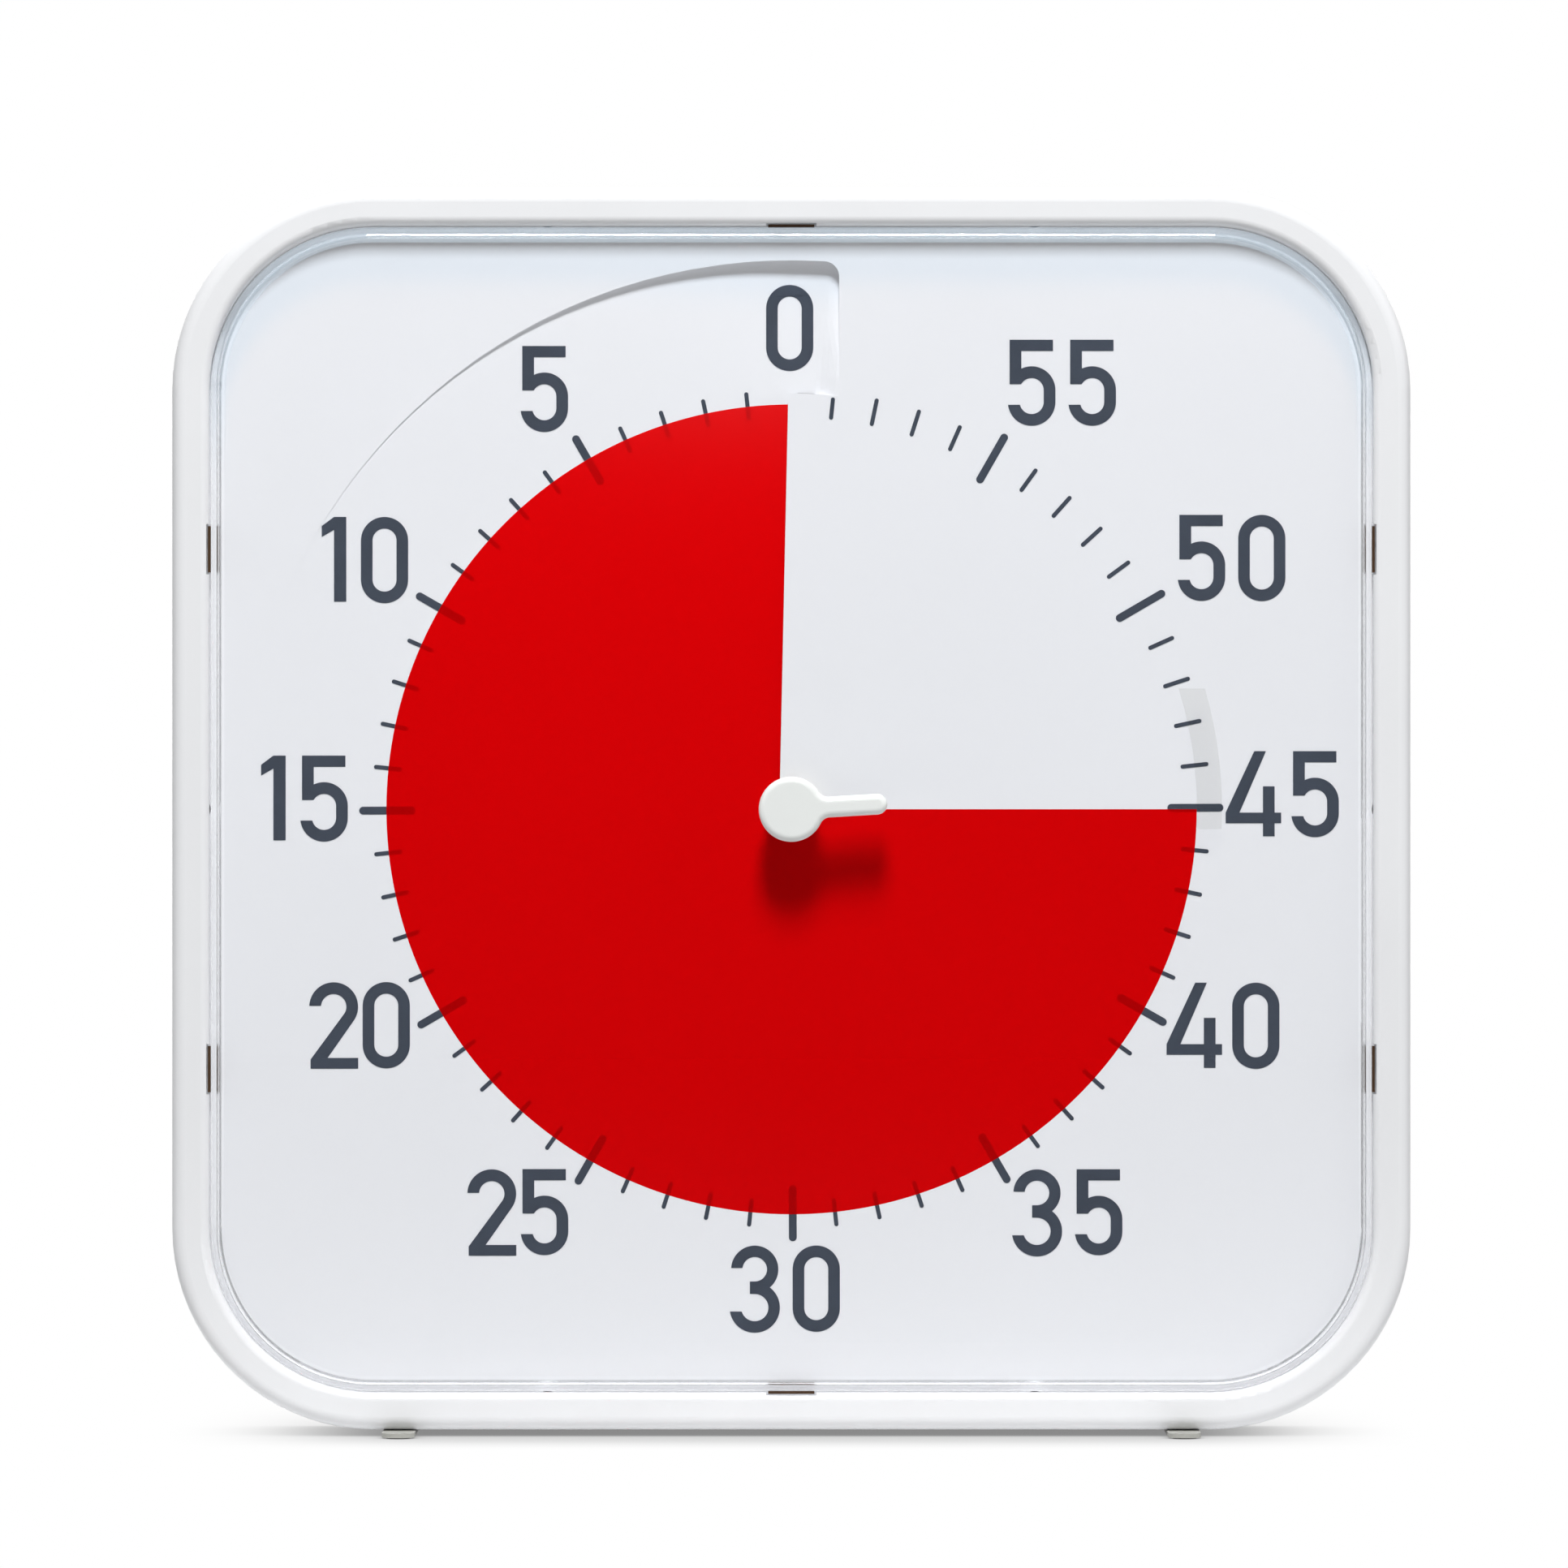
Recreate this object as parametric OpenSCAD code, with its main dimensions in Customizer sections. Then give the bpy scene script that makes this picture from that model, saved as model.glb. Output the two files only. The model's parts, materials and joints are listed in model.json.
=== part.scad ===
/* [Face] */
// Overall width of the frame
face_w = 305; // [290:1:380]
// Overall height of the frame
face_h = 305.6; // [290:0.2:380]
// Depth from the front of the frame to its back
body_depth = 45; // [45:1:60]
// Radius of the outer corners seen from the front
corner_r = 49.5; // [42:0.5:60]
// Width of the frame border around the window
border_w = 9.2; // [8.6:0.1:12]
// Wall of the moulded frame and back
wall = 2.6; // [2.2:0.1:3.2]
// Rounding of the front outer edge
edge_r = 3.3; // [3:0.1:4.5]
// Rounding of the back outer edge
back_r = 5; // [4:0.5:7]
// Depth of the rear cover's side wall
cover_wall_h = 13; // [10.5:0.5:15.6]

/* [Lens] */
// Wall of the clear window
lens_t = 2; // [1.6:0.1:2.6]
// Rolled edge of the window
lens_rim_r = 3.5; // [2.8:0.1:4.5]
// How far the window stands out in front of the frame
lens_proud = 2.6; // [1.8:0.1:3]
// Play between window and frame
lens_gap = 0.4; // [0.2:0.05:0.6]
// Width of the snap lugs
lug_w = 12.4; // [8:0.2:18]
// How far the lugs reach into the frame
lug_reach = 0.4; // [0.2:0.1:0.5]
// Distance of the side lugs from the middle
lug_offset = 64; // [50:1:80]
// Rounding of the frame where it meets the window
lip_r = 2.2; // [1.4:0.1:2.2]

/* [Dial] */
// Radius of the sunken numeral ring
ramp_r = 135.3; // [120:0.1:138]
// Radius of the cover leaf over the slit
leaf_r = 102.5; // [100.5:0.1:104.5]
// Sheet left at the slit, above and below the disk
leaf_t = 0.7; // [0.6:0.1:1]
// How far the sunken ring runs past the zero line
ramp_past = 11.8; // [8:0.1:16]
// How much deeper the sunken ring is at its outer wall
ramp_fall = 1.3; // [0.6:0.1:1.6]
// Overhang of the leaf at the rim of the disk
leaf_over_rim = 0.8; // [0.4:0.1:2]
// Overhang of the leaf at the hub
leaf_over_hub = 2.8; // [1.5:0.1:4]
// Lip under the leaf, past the zero line
lip_under = 1.5; // [1:0.1:3]

/* [Disk] */
// Radius of the coloured disk
disk_r = 99.8; // [80:0.1:99.8]
// Thickness of the disk sheet
disk_t = 0.3; // [0.25:0.05:0.5]
// Rise of the disk in one turn
disk_pitch = 6; // [5:0.1:7.2]
// Gap between the disk and the dial
disk_gap = 0.3; // [0.25:0.05:0.5]
// Outer radius of the clear tab at the leading edge
tab_r = 106; // [103:0.1:108]
// Height of the tab above the leading edge
tab_rise = 29.7; // [20:0.1:36]
// Height of the tab below the leading edge
tab_root = 4.9; // [3:0.1:8]

/* [Shaft and knob] */
// Radius of the centre shaft
shaft_r = 3; // [2.5:0.1:3.6]
// Outer radius of the disk hub
hub_r = 6.5; // [5:0.1:6.6]
// Radius of the knob
knob_r = 8; // [7.8:0.1:10]
// Height of the knob
knob_h = 6.7; // [5.5:0.1:9]
// Reach of the pointer from the axis
pointer_len = 23.4; // [18:0.1:28]
// Width of the pointer
pointer_w = 5.2; // [4:0.1:7]
// Underside of the pointer above the foot of the knob
pointer_low = 2.4; // [0:0.1:3]

/* [Feet] */
// Gap between the frame and the table
foot_h = 1.6; // [1.5:0.1:3]
// Length of a swivel foot
foot_len = 66; // [65:1:76]
// Width of a swivel foot
foot_w = 8; // [6:0.1:12]
// Distance of the foot pivots from the middle
foot_x = 96.5; // [80:0.5:100]
// Radius of the foot pivot pin
foot_pin_r = 2; // [1.5:0.1:2.5]

/* [Movement] */
// Depth of the movement case
move_h = 15; // [13.9:0.1:18]
// Wall of the movement case
move_wall = 1.5; // [1.2:0.1:2]
// Air between the third wheel and the wall of the movement
wheel_air = 1.54; // [0.5:0.01:4]
// Gear module
gear_m = 0.4; // [0.36:0.01:0.48]
// Thickness of the minute wheel
gear_t = 1.5; // [1:0.1:2]

/* [Battery] */
// Radius of the round cell
cell_r = 7.25; // [5:0.05:7.25]
// Length of the round cell
cell_len = 50.5; // [44:0.5:50.5]
// Height of the cell below the dial centre
cell_drop = 62; // [50:1:80]

/* [Back fittings] */
// Entry hole of the wall hanger
hanger_r = 4.5; // [3.5:0.1:5.5]
// Width of the hanger slot
hanger_slot = 4.6; // [3:0.1:6]
// Height of the hanger above the dial centre
hanger_up = 104; // [80:1:115]
// Travel of the sound switch
switch_travel = 4; // [2:0.5:5]
// Radius of the beeper
beeper_r = 12; // [9:0.5:14]

/* [Hidden] */
$fn = 96;

eps = 0.01;
run_clear = 0.05;      // radial clearance of every turning fit
seat = 0.2;            // air between pieces that are clamped or trapped
lens_air = 0.6;        // air between the window and the disk at its highest
tab_air = 1;           // room past the root of the tab at zero
rim_air = 1;           // room past the rim of the disk inside the slit
set_minutes = 45;      // minutes on show at rest
turn_rest = 6 * set_minutes;
step_a = 4;            // angle of one facet of the helical surfaces
reach = 400;           // longer than anything that is cut

// levels above the disk's back face at the slit, towards the viewer
relief = leaf_t + disk_t + 2 * disk_gap;
face_level = leaf_t + disk_t + disk_gap;
dial_t = relief + leaf_t;
ramp_end = 360 * relief / disk_pitch;
climb_from = asin((tab_root + tab_air) / leaf_r);
climb_to = asin((ramp_past - 0.2) / leaf_r);
climb_r = ramp_r - 4;
tab_lead = asin(tab_rise / tab_r) + 2;
disk_top = disk_pitch * (360 + tab_lead) / 360 + disk_t;

// depths behind the front of the frame
lens_d = -lens_proud;
lens_in_d = lens_d + lens_t;
dial_d = lens_in_d + disk_top + lens_air - face_level;
zero_d = dial_d + face_level;
dial_back_d = dial_d + dial_t;
pan_wall = 2.5;
pan_d = dial_d + relief + ramp_fall * 1.1 + leaf_t;
pan_end = 40;
ramp_fade = 3.5;       // how quickly the outer wall of the numeral ring fades out
seam_d = body_depth - cover_wall_h;
floor_d = body_depth - wall;
flange_t = 2;
flange_d = dial_d - flange_t;
dial_z = foot_h + face_h / 2;

// outlines
inner_wall = 2;
win_w = face_w - 2 * border_w;
win_h = face_h - 2 * border_w;
win_r = corner_r - border_w;
lens_w = win_w - 2 * lens_gap;
lens_h = win_h - 2 * lens_gap;
lens_r = win_r - lens_gap;
dial_edge = border_w - 2.7;
dial_w = face_w - 2 * dial_edge;
dial_h = face_h - 2 * dial_edge;
dial_r = corner_r - dial_edge;
flange_w = lens_gap + border_w - dial_edge;

// screws that close the case
boss_r = 3.1;
boss_in = border_w - 0.2 - boss_r;
boss_x = 60;
screw_r = 1.5;
screw_head_r = 2.8;
boss_at = [[-boss_x, face_h / 2 - boss_in], [boss_x, face_h / 2 - boss_in],
           [-boss_x, -face_h / 2 + boss_in], [boss_x, -face_h / 2 + boss_in],
           [face_w / 2 - boss_in, 0], [-face_w / 2 + boss_in, 0]];
boss_end_d = dial_back_d + 6;
rib_x = 30;
rib_w = 14;
rib_t = 2;

// movement
tooth_tip = 0.9;       // height of a tooth outside the pitch circle, in modules
tooth_root = 1.2;      // depth of a tooth inside the pitch circle, in modules
move_back_d = floor_d - 5;
move_d = move_back_d - move_h;
move_lid_d = move_back_d - move_wall;
wheel_d = move_d + 4.6;
third_z = 48;
pinion_z = 16;
minute_z = 64;
rotor_z = 12;
minute_r = gear_m * minute_z / 2;
third_r = gear_m * third_z / 2;
third_at = [gear_m * (minute_z + pinion_z) / 2, 0];
rotor_at = third_at - [0, gear_m * (third_z + rotor_z) / 2];
move_w = 2 * (third_at[0] + third_r + tooth_tip * gear_m + wheel_air + move_wall);
arbor_r = 0.7;
third_d = wheel_d + 3.4;
rotor_mag_r = 3;
coil_r = 3.4;
coil_at = [-3, rotor_at[1] - 9.5];
coil_len = 22;
stator_t = 1.2;
stator_d = move_d + move_wall + seat + coil_r - stator_t / 2;
stator_posts = [rotor_at - [0, 5], [coil_at[0] - coil_len / 2 - 2, rotor_at[1] - 3.3]];
ear_at = move_w / 2 + 3;

// battery
cell_air = 0.5;
cell_d = floor_d - 0.5 - cell_r + wall - 2.1;
tub_w = cell_len + 6;
tub_h = 2 * (cell_r + cell_air);
tub_d = cell_d - cell_r - cell_air;
tub_wall = 1.5;
door_t = 1.5;
door_w = tub_w + 6;
door_h = tub_h + 6;
door_d = body_depth - 0.4 - door_t;

// back fittings
switch_at = [75, 30];
board_d = floor_d - 6.6;
board_t = 1.6;
board_w = 40;
board_h = 24;
beeper_at = [-75, 30];
beeper_t = 3.3;
pivot_d = body_depth / 2;
foot_hub_r = 6.3;
foot_hub_h = 2.6;
foot_bar_t = foot_h - seat - 0.3;
pad_t = 0.9;
pad_len = 11;

// ---- shared helpers ----

// x to the right, y up and z towards the viewer, from the centre of the dial at the frame's front
module face_space() {
    translate([0, -body_depth / 2, dial_z]) rotate([90, 0, 0]) children();
}

// a flat outline from one depth to a deeper one
module slab(d0, d1) {
    translate([0, 0, -d1]) linear_extrude(d1 - d0) children();
}

module rounded(w, h, r) {
    square([w - 2 * r, h], center = true);
    square([w, h - 2 * r], center = true);
    for (sx = [-1, 1], sy = [-1, 1])
        translate([sx * (w / 2 - r), sy * (h / 2 - r)]) circle(r);
}

// carries a profile round a rounded rectangle: profile x runs inwards, profile y towards the viewer
module around(w, h, r) {
    for (i = [0:3]) {
        wide = i % 2 == 0 ? w : h;
        high = i % 2 == 0 ? h : w;
        rotate([0, 0, 90 * i]) {
            translate([wide / 2 - r, high / 2 - r, 0])
                rotate_extrude(angle = 90) translate([r, 0]) mirror([1, 0]) children();
            translate([wide / 2, 0, 0])
                rotate([90, 0, 0]) linear_extrude(high - 2 * r, center = true) mirror([1, 0]) children();
        }
    }
}

// height of the disk's back face at an angle counted counterclockwise from the top
function level(a) = -zero_d + disk_pitch * a / 360;
function polar(r, a, z) = [-r * sin(a), r * cos(a), z];

// skin of a bar that runs in n steps and has four corners in each step
function bar_faces(n) = concat(
    [[3, 2, 1, 0], [4 * n, 4 * n + 1, 4 * n + 2, 4 * n + 3]],
    [for (i = [0:n - 1], k = [0:3], half = [0, 1])
        half == 0
            ? [4 * i + k, 4 * i + (k + 1) % 4, 4 * i + 4 + (k + 1) % 4]
            : [4 * i + k, 4 * i + 4 + (k + 1) % 4, 4 * i + 4 + k]]);

// helical sheet between two angles, lo and hi above the disk's back face
module helix_sheet(a0, a1, r0, r1, lo, hi) {
    n = ceil((a1 - a0) / step_a);
    polyhedron(points = [for (i = [0:n]) let (a = a0 + (a1 - a0) * i / n) each [
        polar(r0, a, level(a) + lo), polar(r1, a, level(a) + lo),
        polar(r1, a, level(a) + hi), polar(r0, a, level(a) + hi)]],
        faces = bar_faces(n), convexity = 6);
}

// everything below a helical surface, down to a flat level
module below_helix(a0, a1, r0, r1, at_level, flat) {
    n = ceil((a1 - a0) / step_a);
    polyhedron(points = [for (i = [0:n]) let (a = a0 + (a1 - a0) * i / n, z = level(a) + at_level) each [
        polar(r0, a, flat), polar(r1, a, flat), polar(r1, a, z), polar(r0, a, z)]],
        faces = bar_faces(n), convexity = 6);
}

// ---- front frame ----

module frame_profile() {
    flat_end = border_w - lip_r;
    wall_end = flange_d - seat;
    difference() {
        union() {
            translate([edge_r, -edge_r]) circle(edge_r);
            translate([0, -seam_d]) square([wall, seam_d - edge_r]);
            translate([flat_end, -lip_r]) circle(lip_r);
            polygon([[edge_r, 0], [flat_end, 0], [flat_end, -lip_r], [border_w, -lip_r],
                     [border_w, -wall_end], [edge_r, -wall_end]]);
        }
        translate([wall, -seam_d - 1]) square([border_w - inner_wall - wall, seam_d + 1 - wall]);
        translate([wall, -seam_d - 1]) square([border_w, seam_d + 1 - wall_end]);
    }
}

// places the six lugs of the lens: x along the frame, y outwards
module at_lugs() {
    translate([0, win_h / 2]) children();
    translate([0, -win_h / 2]) rotate(180) children();
    for (s = [-1, 1]) {
        translate([win_w / 2, s * lug_offset]) rotate(-90) children();
        translate([-win_w / 2, s * lug_offset]) rotate(90) children();
    }
}

module foot_boss_holes() {
    rotate([90, 0, 0]) translate([0, 0, -foot_hub_h - seat])
        cylinder(h = foot_hub_h + seat + 1, r = foot_hub_r + seat);
    rotate([-90, 0, 0]) cylinder(h = 20, r = foot_pin_r);
}

module front_frame() {
    boss_h = foot_hub_h + seat + 2.4;
    color("white") face_space() difference() {
        union() {
            around(face_w, face_h, corner_r) frame_profile();
            for (p = boss_at) {
                translate([p[0], p[1], -boss_end_d])
                    cylinder(h = boss_end_d - wall + eps, r = boss_r);
            }
            for (i = [0:3]) {
                p = boss_at[i];
                translate([p[0] - 0.8, i < 2 ? p[1] + boss_r - 0.6 : p[1] - boss_r - 0.5, -boss_end_d])
                    cube([1.6, 1.1, boss_end_d - wall + eps]);
            }
            for (i = [4:5]) {
                p = boss_at[i];
                translate([i == 4 ? p[0] + boss_r - 0.6 : p[0] - boss_r - 0.5, -0.8, -boss_end_d])
                    cube([1.1, 1.6, boss_end_d - wall + eps]);
            }
            for (s = [-1, 1]) translate([s * foot_x, -face_h / 2 + wall - eps, -pivot_d])
                rotate([-90, 0, 0]) cylinder(h = boss_h - wall, r = foot_hub_r + 2.4);
        }
        for (p = boss_at) translate([p[0], p[1], -boss_end_d - 1])
            cylinder(h = boss_end_d - wall - 1.4, r = screw_r + run_clear);
        for (s = [-1, 1]) translate([s * foot_x, -face_h / 2, -pivot_d]) foot_boss_holes();
        slab(-1, flange_d) at_lugs() translate([-lug_w / 2, -1]) square([lug_w, 1 + lug_reach + 0.3]);
    }
}

// ---- clear lens ----

// quarter of a circle with a straight side that runs down from it
module rolled_side(r, side_end) {
    circle(r);
    translate([-r, -side_end]) square([r, side_end]);
}

module lens_profile() {
    bend_d = lens_d + lens_rim_r;
    intersection() {
        translate([lens_rim_r, -bend_d]) difference() {
            rolled_side(lens_rim_r, dial_d - bend_d);
            rolled_side(lens_rim_r - lens_t, dial_d - bend_d + 1);
        }
        translate([0, -dial_d]) square([lens_rim_r, dial_d - lens_d]);
    }
    translate([-flange_w, -dial_d]) square([flange_w + lens_t, flange_t]);
}

module lens_lug() {
    translate([-lug_w / 2 + 0.5, -lens_gap - 0.3]) square([lug_w - 1, lens_gap + 0.3 + lug_reach]);
}

module boss_notches(d0, d1) {
    for (p = boss_at) translate([p[0], p[1], -d1]) cylinder(h = d1 - d0, r = boss_r + 2 * seat);
    for (i = [0:3]) {
        p = boss_at[i];
        translate([p[0] - 1.4, i < 2 ? p[1] : p[1] - 6, -d1]) cube([2.8, 6, d1 - d0]);
    }
    for (i = [4:5]) {
        p = boss_at[i];
        translate([i == 4 ? p[0] : p[0] - 6, -1.4, -d1]) cube([6, 2.8, d1 - d0]);
    }
}

module clear_lens() {
    plate_in = 2 * lens_rim_r;
    color("lightblue", 0.3) face_space() difference() {
        union() {
            around(lens_w, lens_h, lens_r) lens_profile();
            slab(lens_d, lens_in_d) rounded(lens_w - plate_in, lens_h - plate_in, lens_r - lens_rim_r);
            slab(flange_d - 1.4, flange_d - 0.4) at_lugs() lens_lug();
        }
        translate([0, 0, -lens_in_d - 1]) cylinder(h = lens_t + 2, r = shaft_r + 0.5);
        boss_notches(flange_d - 1, dial_d + 1);
    }
}

// ---- dial with its slit ----

module leaf_plan() {
    slope = (leaf_over_hub - leaf_over_rim) / (disk_r - hub_r);
    intersection() {
        circle(leaf_r);
        polygon([[-leaf_over_hub - slope * (hub_r + 2), -2], [-leaf_over_rim + slope * 4, disk_r + 4],
                 [reach, disk_r + 4], [reach, -2]]);
    }
}

module ramp_plan() {
    round_r = 3.8;
    cx = ramp_past - round_r;
    cy = sqrt(pow(ramp_r - round_r, 2) - cx * cx);
    difference() {
        circle(ramp_r);
        translate([ramp_past, -reach / 2]) square([reach, reach]);
        leaf_plan();
        difference() {
            translate([cx, cy]) square([10, 10]);
            translate([cx, cy]) circle(round_r);
        }
    }
}

function ease(t) = let (u = max(0, min(1, t))) u * u * (3 - 2 * u);

// share of the way out from the leaf to the wall of the numeral ring
function outwards(r) = max(0, (r - leaf_r) / (ramp_r - leaf_r));

// height of the outer wall of the numeral ring
function wall_h(a) = (relief + ramp_fall) * pow(max(0, min(1, 1 - a / ramp_end)), ramp_fade);

// floor of the ring without its climb: it follows the disk at the leaf and its own fade at the wall
function bowl_z(a, r) =
    let (at_leaf = level(a) - disk_gap) at_leaf + (-dial_d - wall_h(a) - at_leaf) * outwards(r);

// whole floor: right of the slit it climbs back to the leaf beside the right wall
function floor_z(a, r) = bowl_z(a, r) + (-dial_d + 0.02 - bowl_z(a, r))
    * ease((-a - climb_from) / (climb_to - climb_from))
    * ease((climb_r - r) / (climb_r - leaf_r - 1.5));

// everything above the floor of the ring, with a grid of points for its underside
module above_floor(top) {
    angles = concat([for (i = [0:8]) -climb_to - 2 + (climb_to + 2 - climb_from) * i / 8],
                    [for (i = [0:ceil(ramp_end / step_a) + 1]) step_a * i]);
    radii = concat([0.5], [for (k = [0:7]) leaf_r - 1 + (ramp_r + 4 - leaf_r) * k / 7]);
    wide = len(radii);
    along = len(angles) - 1;
    across = wide - 1;
    cells = wide * len(angles);
    points = [for (up = [false, true], a = angles, r = radii) polar(r, a, up ? top : floor_z(a, r))];
    floor_faces = [for (i = [0:along - 1], k = [0:across - 1], half = [0, 1]) let (p = i * wide + k)
        half == 0 ? [p, p + wide + 1, p + wide] : [p, p + 1, p + wide + 1]];
    rim = concat([for (k = [0:across]) k],
                 [for (i = [1:along]) i * wide + across],
                 [for (k = [1:across]) along * wide + across - k],
                 [for (i = [1:along - 1]) (along - i) * wide]);
    sides = [for (j = [0:len(rim) - 1]) let (p = rim[j], q = rim[(j + 1) % len(rim)])
        [q, p, p + cells, q + cells]];
    top_face = [for (j = [len(rim) - 1:-1:0]) rim[j] + cells];
    polyhedron(points = points, faces = concat(floor_faces, sides, [top_face]), convexity = 6);
}

module ramp_pocket() {
    intersection() {
        slab(dial_d - 1, pan_d) ramp_plan();
        above_floor(-dial_d + 2);
    }
}

// pan behind the deep end of the numeral ring
module ramp_pan() {
    slab(dial_back_d - eps, pan_d) intersection() {
        difference() {
            circle(ramp_r + pan_wall);
            circle(leaf_r + 1);
        }
        polygon([[ramp_past + pan_wall, 0], [ramp_past + pan_wall, reach], [-reach, reach],
                 [-reach, reach / tan(pan_end)]]);
    }
}

// the room of the disk in plan, wider near the slit, where the root of the tab comes in
module passage_plan() {
    circle(disk_r + rim_air);
    intersection() {
        circle(leaf_r + 0.1);
        translate([tab_root + tab_air - reach, 0]) square(reach);
    }
}

// the way of the disk from the front of the dial to its back
module slit_passage() {
    difference() {
        intersection() {
            slab(dial_d - 1, dial_back_d + 1) passage_plan();
            below_helix(-ramp_end - 4, 24, 0.5, leaf_r + 3, disk_t + disk_gap, -dial_back_d - 2);
        }
        intersection() {
            translate([-reach + lip_under, -reach / 2, -reach]) cube([reach, reach, reach]);
            below_helix(-ramp_end - 8, 28, 0.1, leaf_r + 5, -disk_gap + 0.06, -dial_back_d - 4);
        }
    }
}

module dial_plate() {
    color("whitesmoke") face_space() difference() {
        union() {
            slab(dial_d, dial_back_d) rounded(dial_w, dial_h, dial_r);
            ramp_pan();
        }
        ramp_pocket();
        slit_passage();
        translate([0, 0, -dial_back_d - 1]) cylinder(h = dial_t + 2, r = hub_r + 1);
        boss_notches(dial_d - 1, dial_back_d + 1);
    }
}

// ---- disk ----

module red_disk() {
    color("red") face_space()
        helix_sheet(turn_rest - 360, turn_rest, hub_r + run_clear, disk_r, 0, disk_t);
}

module disk_hub() {
    color("white") face_space() translate([0, 0, level(turn_rest - 360)]) difference() {
        cylinder(h = disk_pitch + disk_t, r = hub_r);
        translate([0, 0, -1]) cylinder(h = disk_pitch + disk_t + 2, r = shaft_r + run_clear);
    }
}

// clear tab on the rim, cut level at both ends
module disk_tab() {
    n = 8;
    radii = [disk_r + run_clear, tab_r];
    color("lightgrey", 0.4) face_space() polyhedron(points = [for (i = [0:n]) each [
        for (k = [[0, 0], [1, 0], [1, 1], [0, 1]]) let (
            r = radii[k[0]],
            low = -asin(tab_root / r),
            a = turn_rest + low + (asin(tab_rise / r) - low) * i / n)
            polar(r, a, level(a) + k[1] * disk_t)]],
        faces = bar_faces(n), convexity = 4);
}

// ---- knob and shaft ----

knob_low_d = lens_d - 0.3;
shaft_top_d = knob_low_d - knob_h + 3;
shaft_end_d = move_lid_d - 0.6;
pivot_r = 1.2;
pointer_tilt = 3.4;
knob_root_r = 2.6;
knob_edge_r = 1.6;

module centre_shaft() {
    color("silver") face_space() {
        translate([0, 0, -shaft_end_d]) cylinder(h = shaft_end_d - shaft_top_d, r = shaft_r);
        translate([0, 0, -move_back_d]) cylinder(h = move_back_d - shaft_end_d + eps, r = pivot_r);
        translate([0, 0, -wheel_d + 0.6]) cylinder(h = 1.2, r = shaft_r + 1.8);
    }
}

// outline of the knob and its pointer, drawn in from the real edge by inset
function knob_outline(inset) =
    let (
        half_w = pointer_w / 2,
        tip_x = pointer_len - half_w,
        root_y = half_w + knob_root_r,
        turn = asin(root_y / (knob_r + knob_root_r)),
        root_x = (knob_r + knob_root_r) * cos(turn))
    concat(
        [for (i = [0:30]) let (a = -90 + 6 * i)
            [tip_x + (half_w - inset) * cos(a), (half_w - inset) * sin(a)]],
        [for (i = [0:8]) let (a = 270 - (90 - turn) * i / 8)
            [root_x + (knob_root_r + inset) * cos(a), root_y + (knob_root_r + inset) * sin(a)]],
        [for (i = [1:49]) let (a = turn + (360 - 2 * turn) * i / 50)
            [(knob_r - inset) * cos(a), (knob_r - inset) * sin(a)]],
        [for (i = [0:8]) let (a = 180 - turn - (90 - turn) * i / 8)
            [root_x + (knob_root_r + inset) * cos(a), -root_y + (knob_root_r + inset) * sin(a)]]);

// knob and pointer with one rounded upper edge all the way round
module knob_cap() {
    steps = 6;
    rings = concat([[0, pointer_low]], [for (i = [0:steps]) let (a = 90 * i / steps)
        [knob_edge_r * (1 - cos(a)), knob_h - knob_edge_r * (1 - sin(a))]]);
    n = len(knob_outline(0));
    last = (len(rings) - 1) * n;
    polyhedron(points = [for (ring = rings) each [for (p = knob_outline(ring[0])) [p[0], p[1], ring[1]]]],
        faces = concat([[for (i = [0:n - 1]) i], [for (i = [n - 1:-1:0]) last + i]],
            [for (k = [0:len(rings) - 2], i = [0:n - 1], half = [0, 1])
                let (p = k * n + i, q = k * n + (i + 1) % n)
                    half == 0 ? [p, q + n, q] : [p, p + n, q + n]]),
        convexity = 4);
}

module pointer_knob() {
    color("white") face_space() translate([0, 0, -knob_low_d]) rotate([0, 0, pointer_tilt]) difference() {
        union() {
            cylinder(h = pointer_low + 1, r = knob_r - 0.5);
            knob_cap();
        }
        translate([0, 0, -1]) cylinder(h = knob_h - 2, r = shaft_r + run_clear);
    }
}

// ---- gears ----

module gear_plan(z, turn) {
    pitch_r = gear_m * z / 2;
    tip = 0.1 * 360 / z;
    root = 0.25 * 360 / z;
    tip_r = pitch_r + tooth_tip * gear_m;
    root_r = pitch_r - tooth_root * gear_m;
    rotate(turn) polygon([for (i = [0:z - 1]) let (a = 360 * i / z) each [
        [root_r * cos(a - root), root_r * sin(a - root)], [tip_r * cos(a - tip), tip_r * sin(a - tip)],
        [tip_r * cos(a + tip), tip_r * sin(a + tip)], [root_r * cos(a + root), root_r * sin(a + root)]]]);
}

module minute_wheel() {
    color("ivory") face_space() slab(wheel_d, wheel_d + gear_t) difference() {
        gear_plan(minute_z, 0);
        circle(shaft_r + run_clear);
        for (i = [0:4]) rotate(72 * i + 36) translate([minute_r * 0.58, 0]) circle(minute_r * 0.17);
    }
}

module friction_washer() {
    color("goldenrod") face_space() slab(wheel_d - 0.55, wheel_d - 0.05) difference() {
        circle(shaft_r + 3.4);
        circle(shaft_r + run_clear);
    }
}

module third_wheel() {
    color("ivory") face_space() translate([third_at[0], third_at[1], 0]) {
        slab(wheel_d - 0.3, wheel_d + gear_t + 0.3) gear_plan(pinion_z, 180 / pinion_z);
        slab(third_d, third_d + 1) difference() {
            gear_plan(third_z, 0);
            for (i = [0:3]) rotate(90 * i + 45) translate([third_r * 0.6, 0]) circle(third_r * 0.16);
        }
        slab(move_d + move_wall - 0.8, move_back_d - 0.6) circle(arbor_r);
        slab(wheel_d + gear_t + 0.3 - eps, third_d + eps) circle(2);
    }
}

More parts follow.
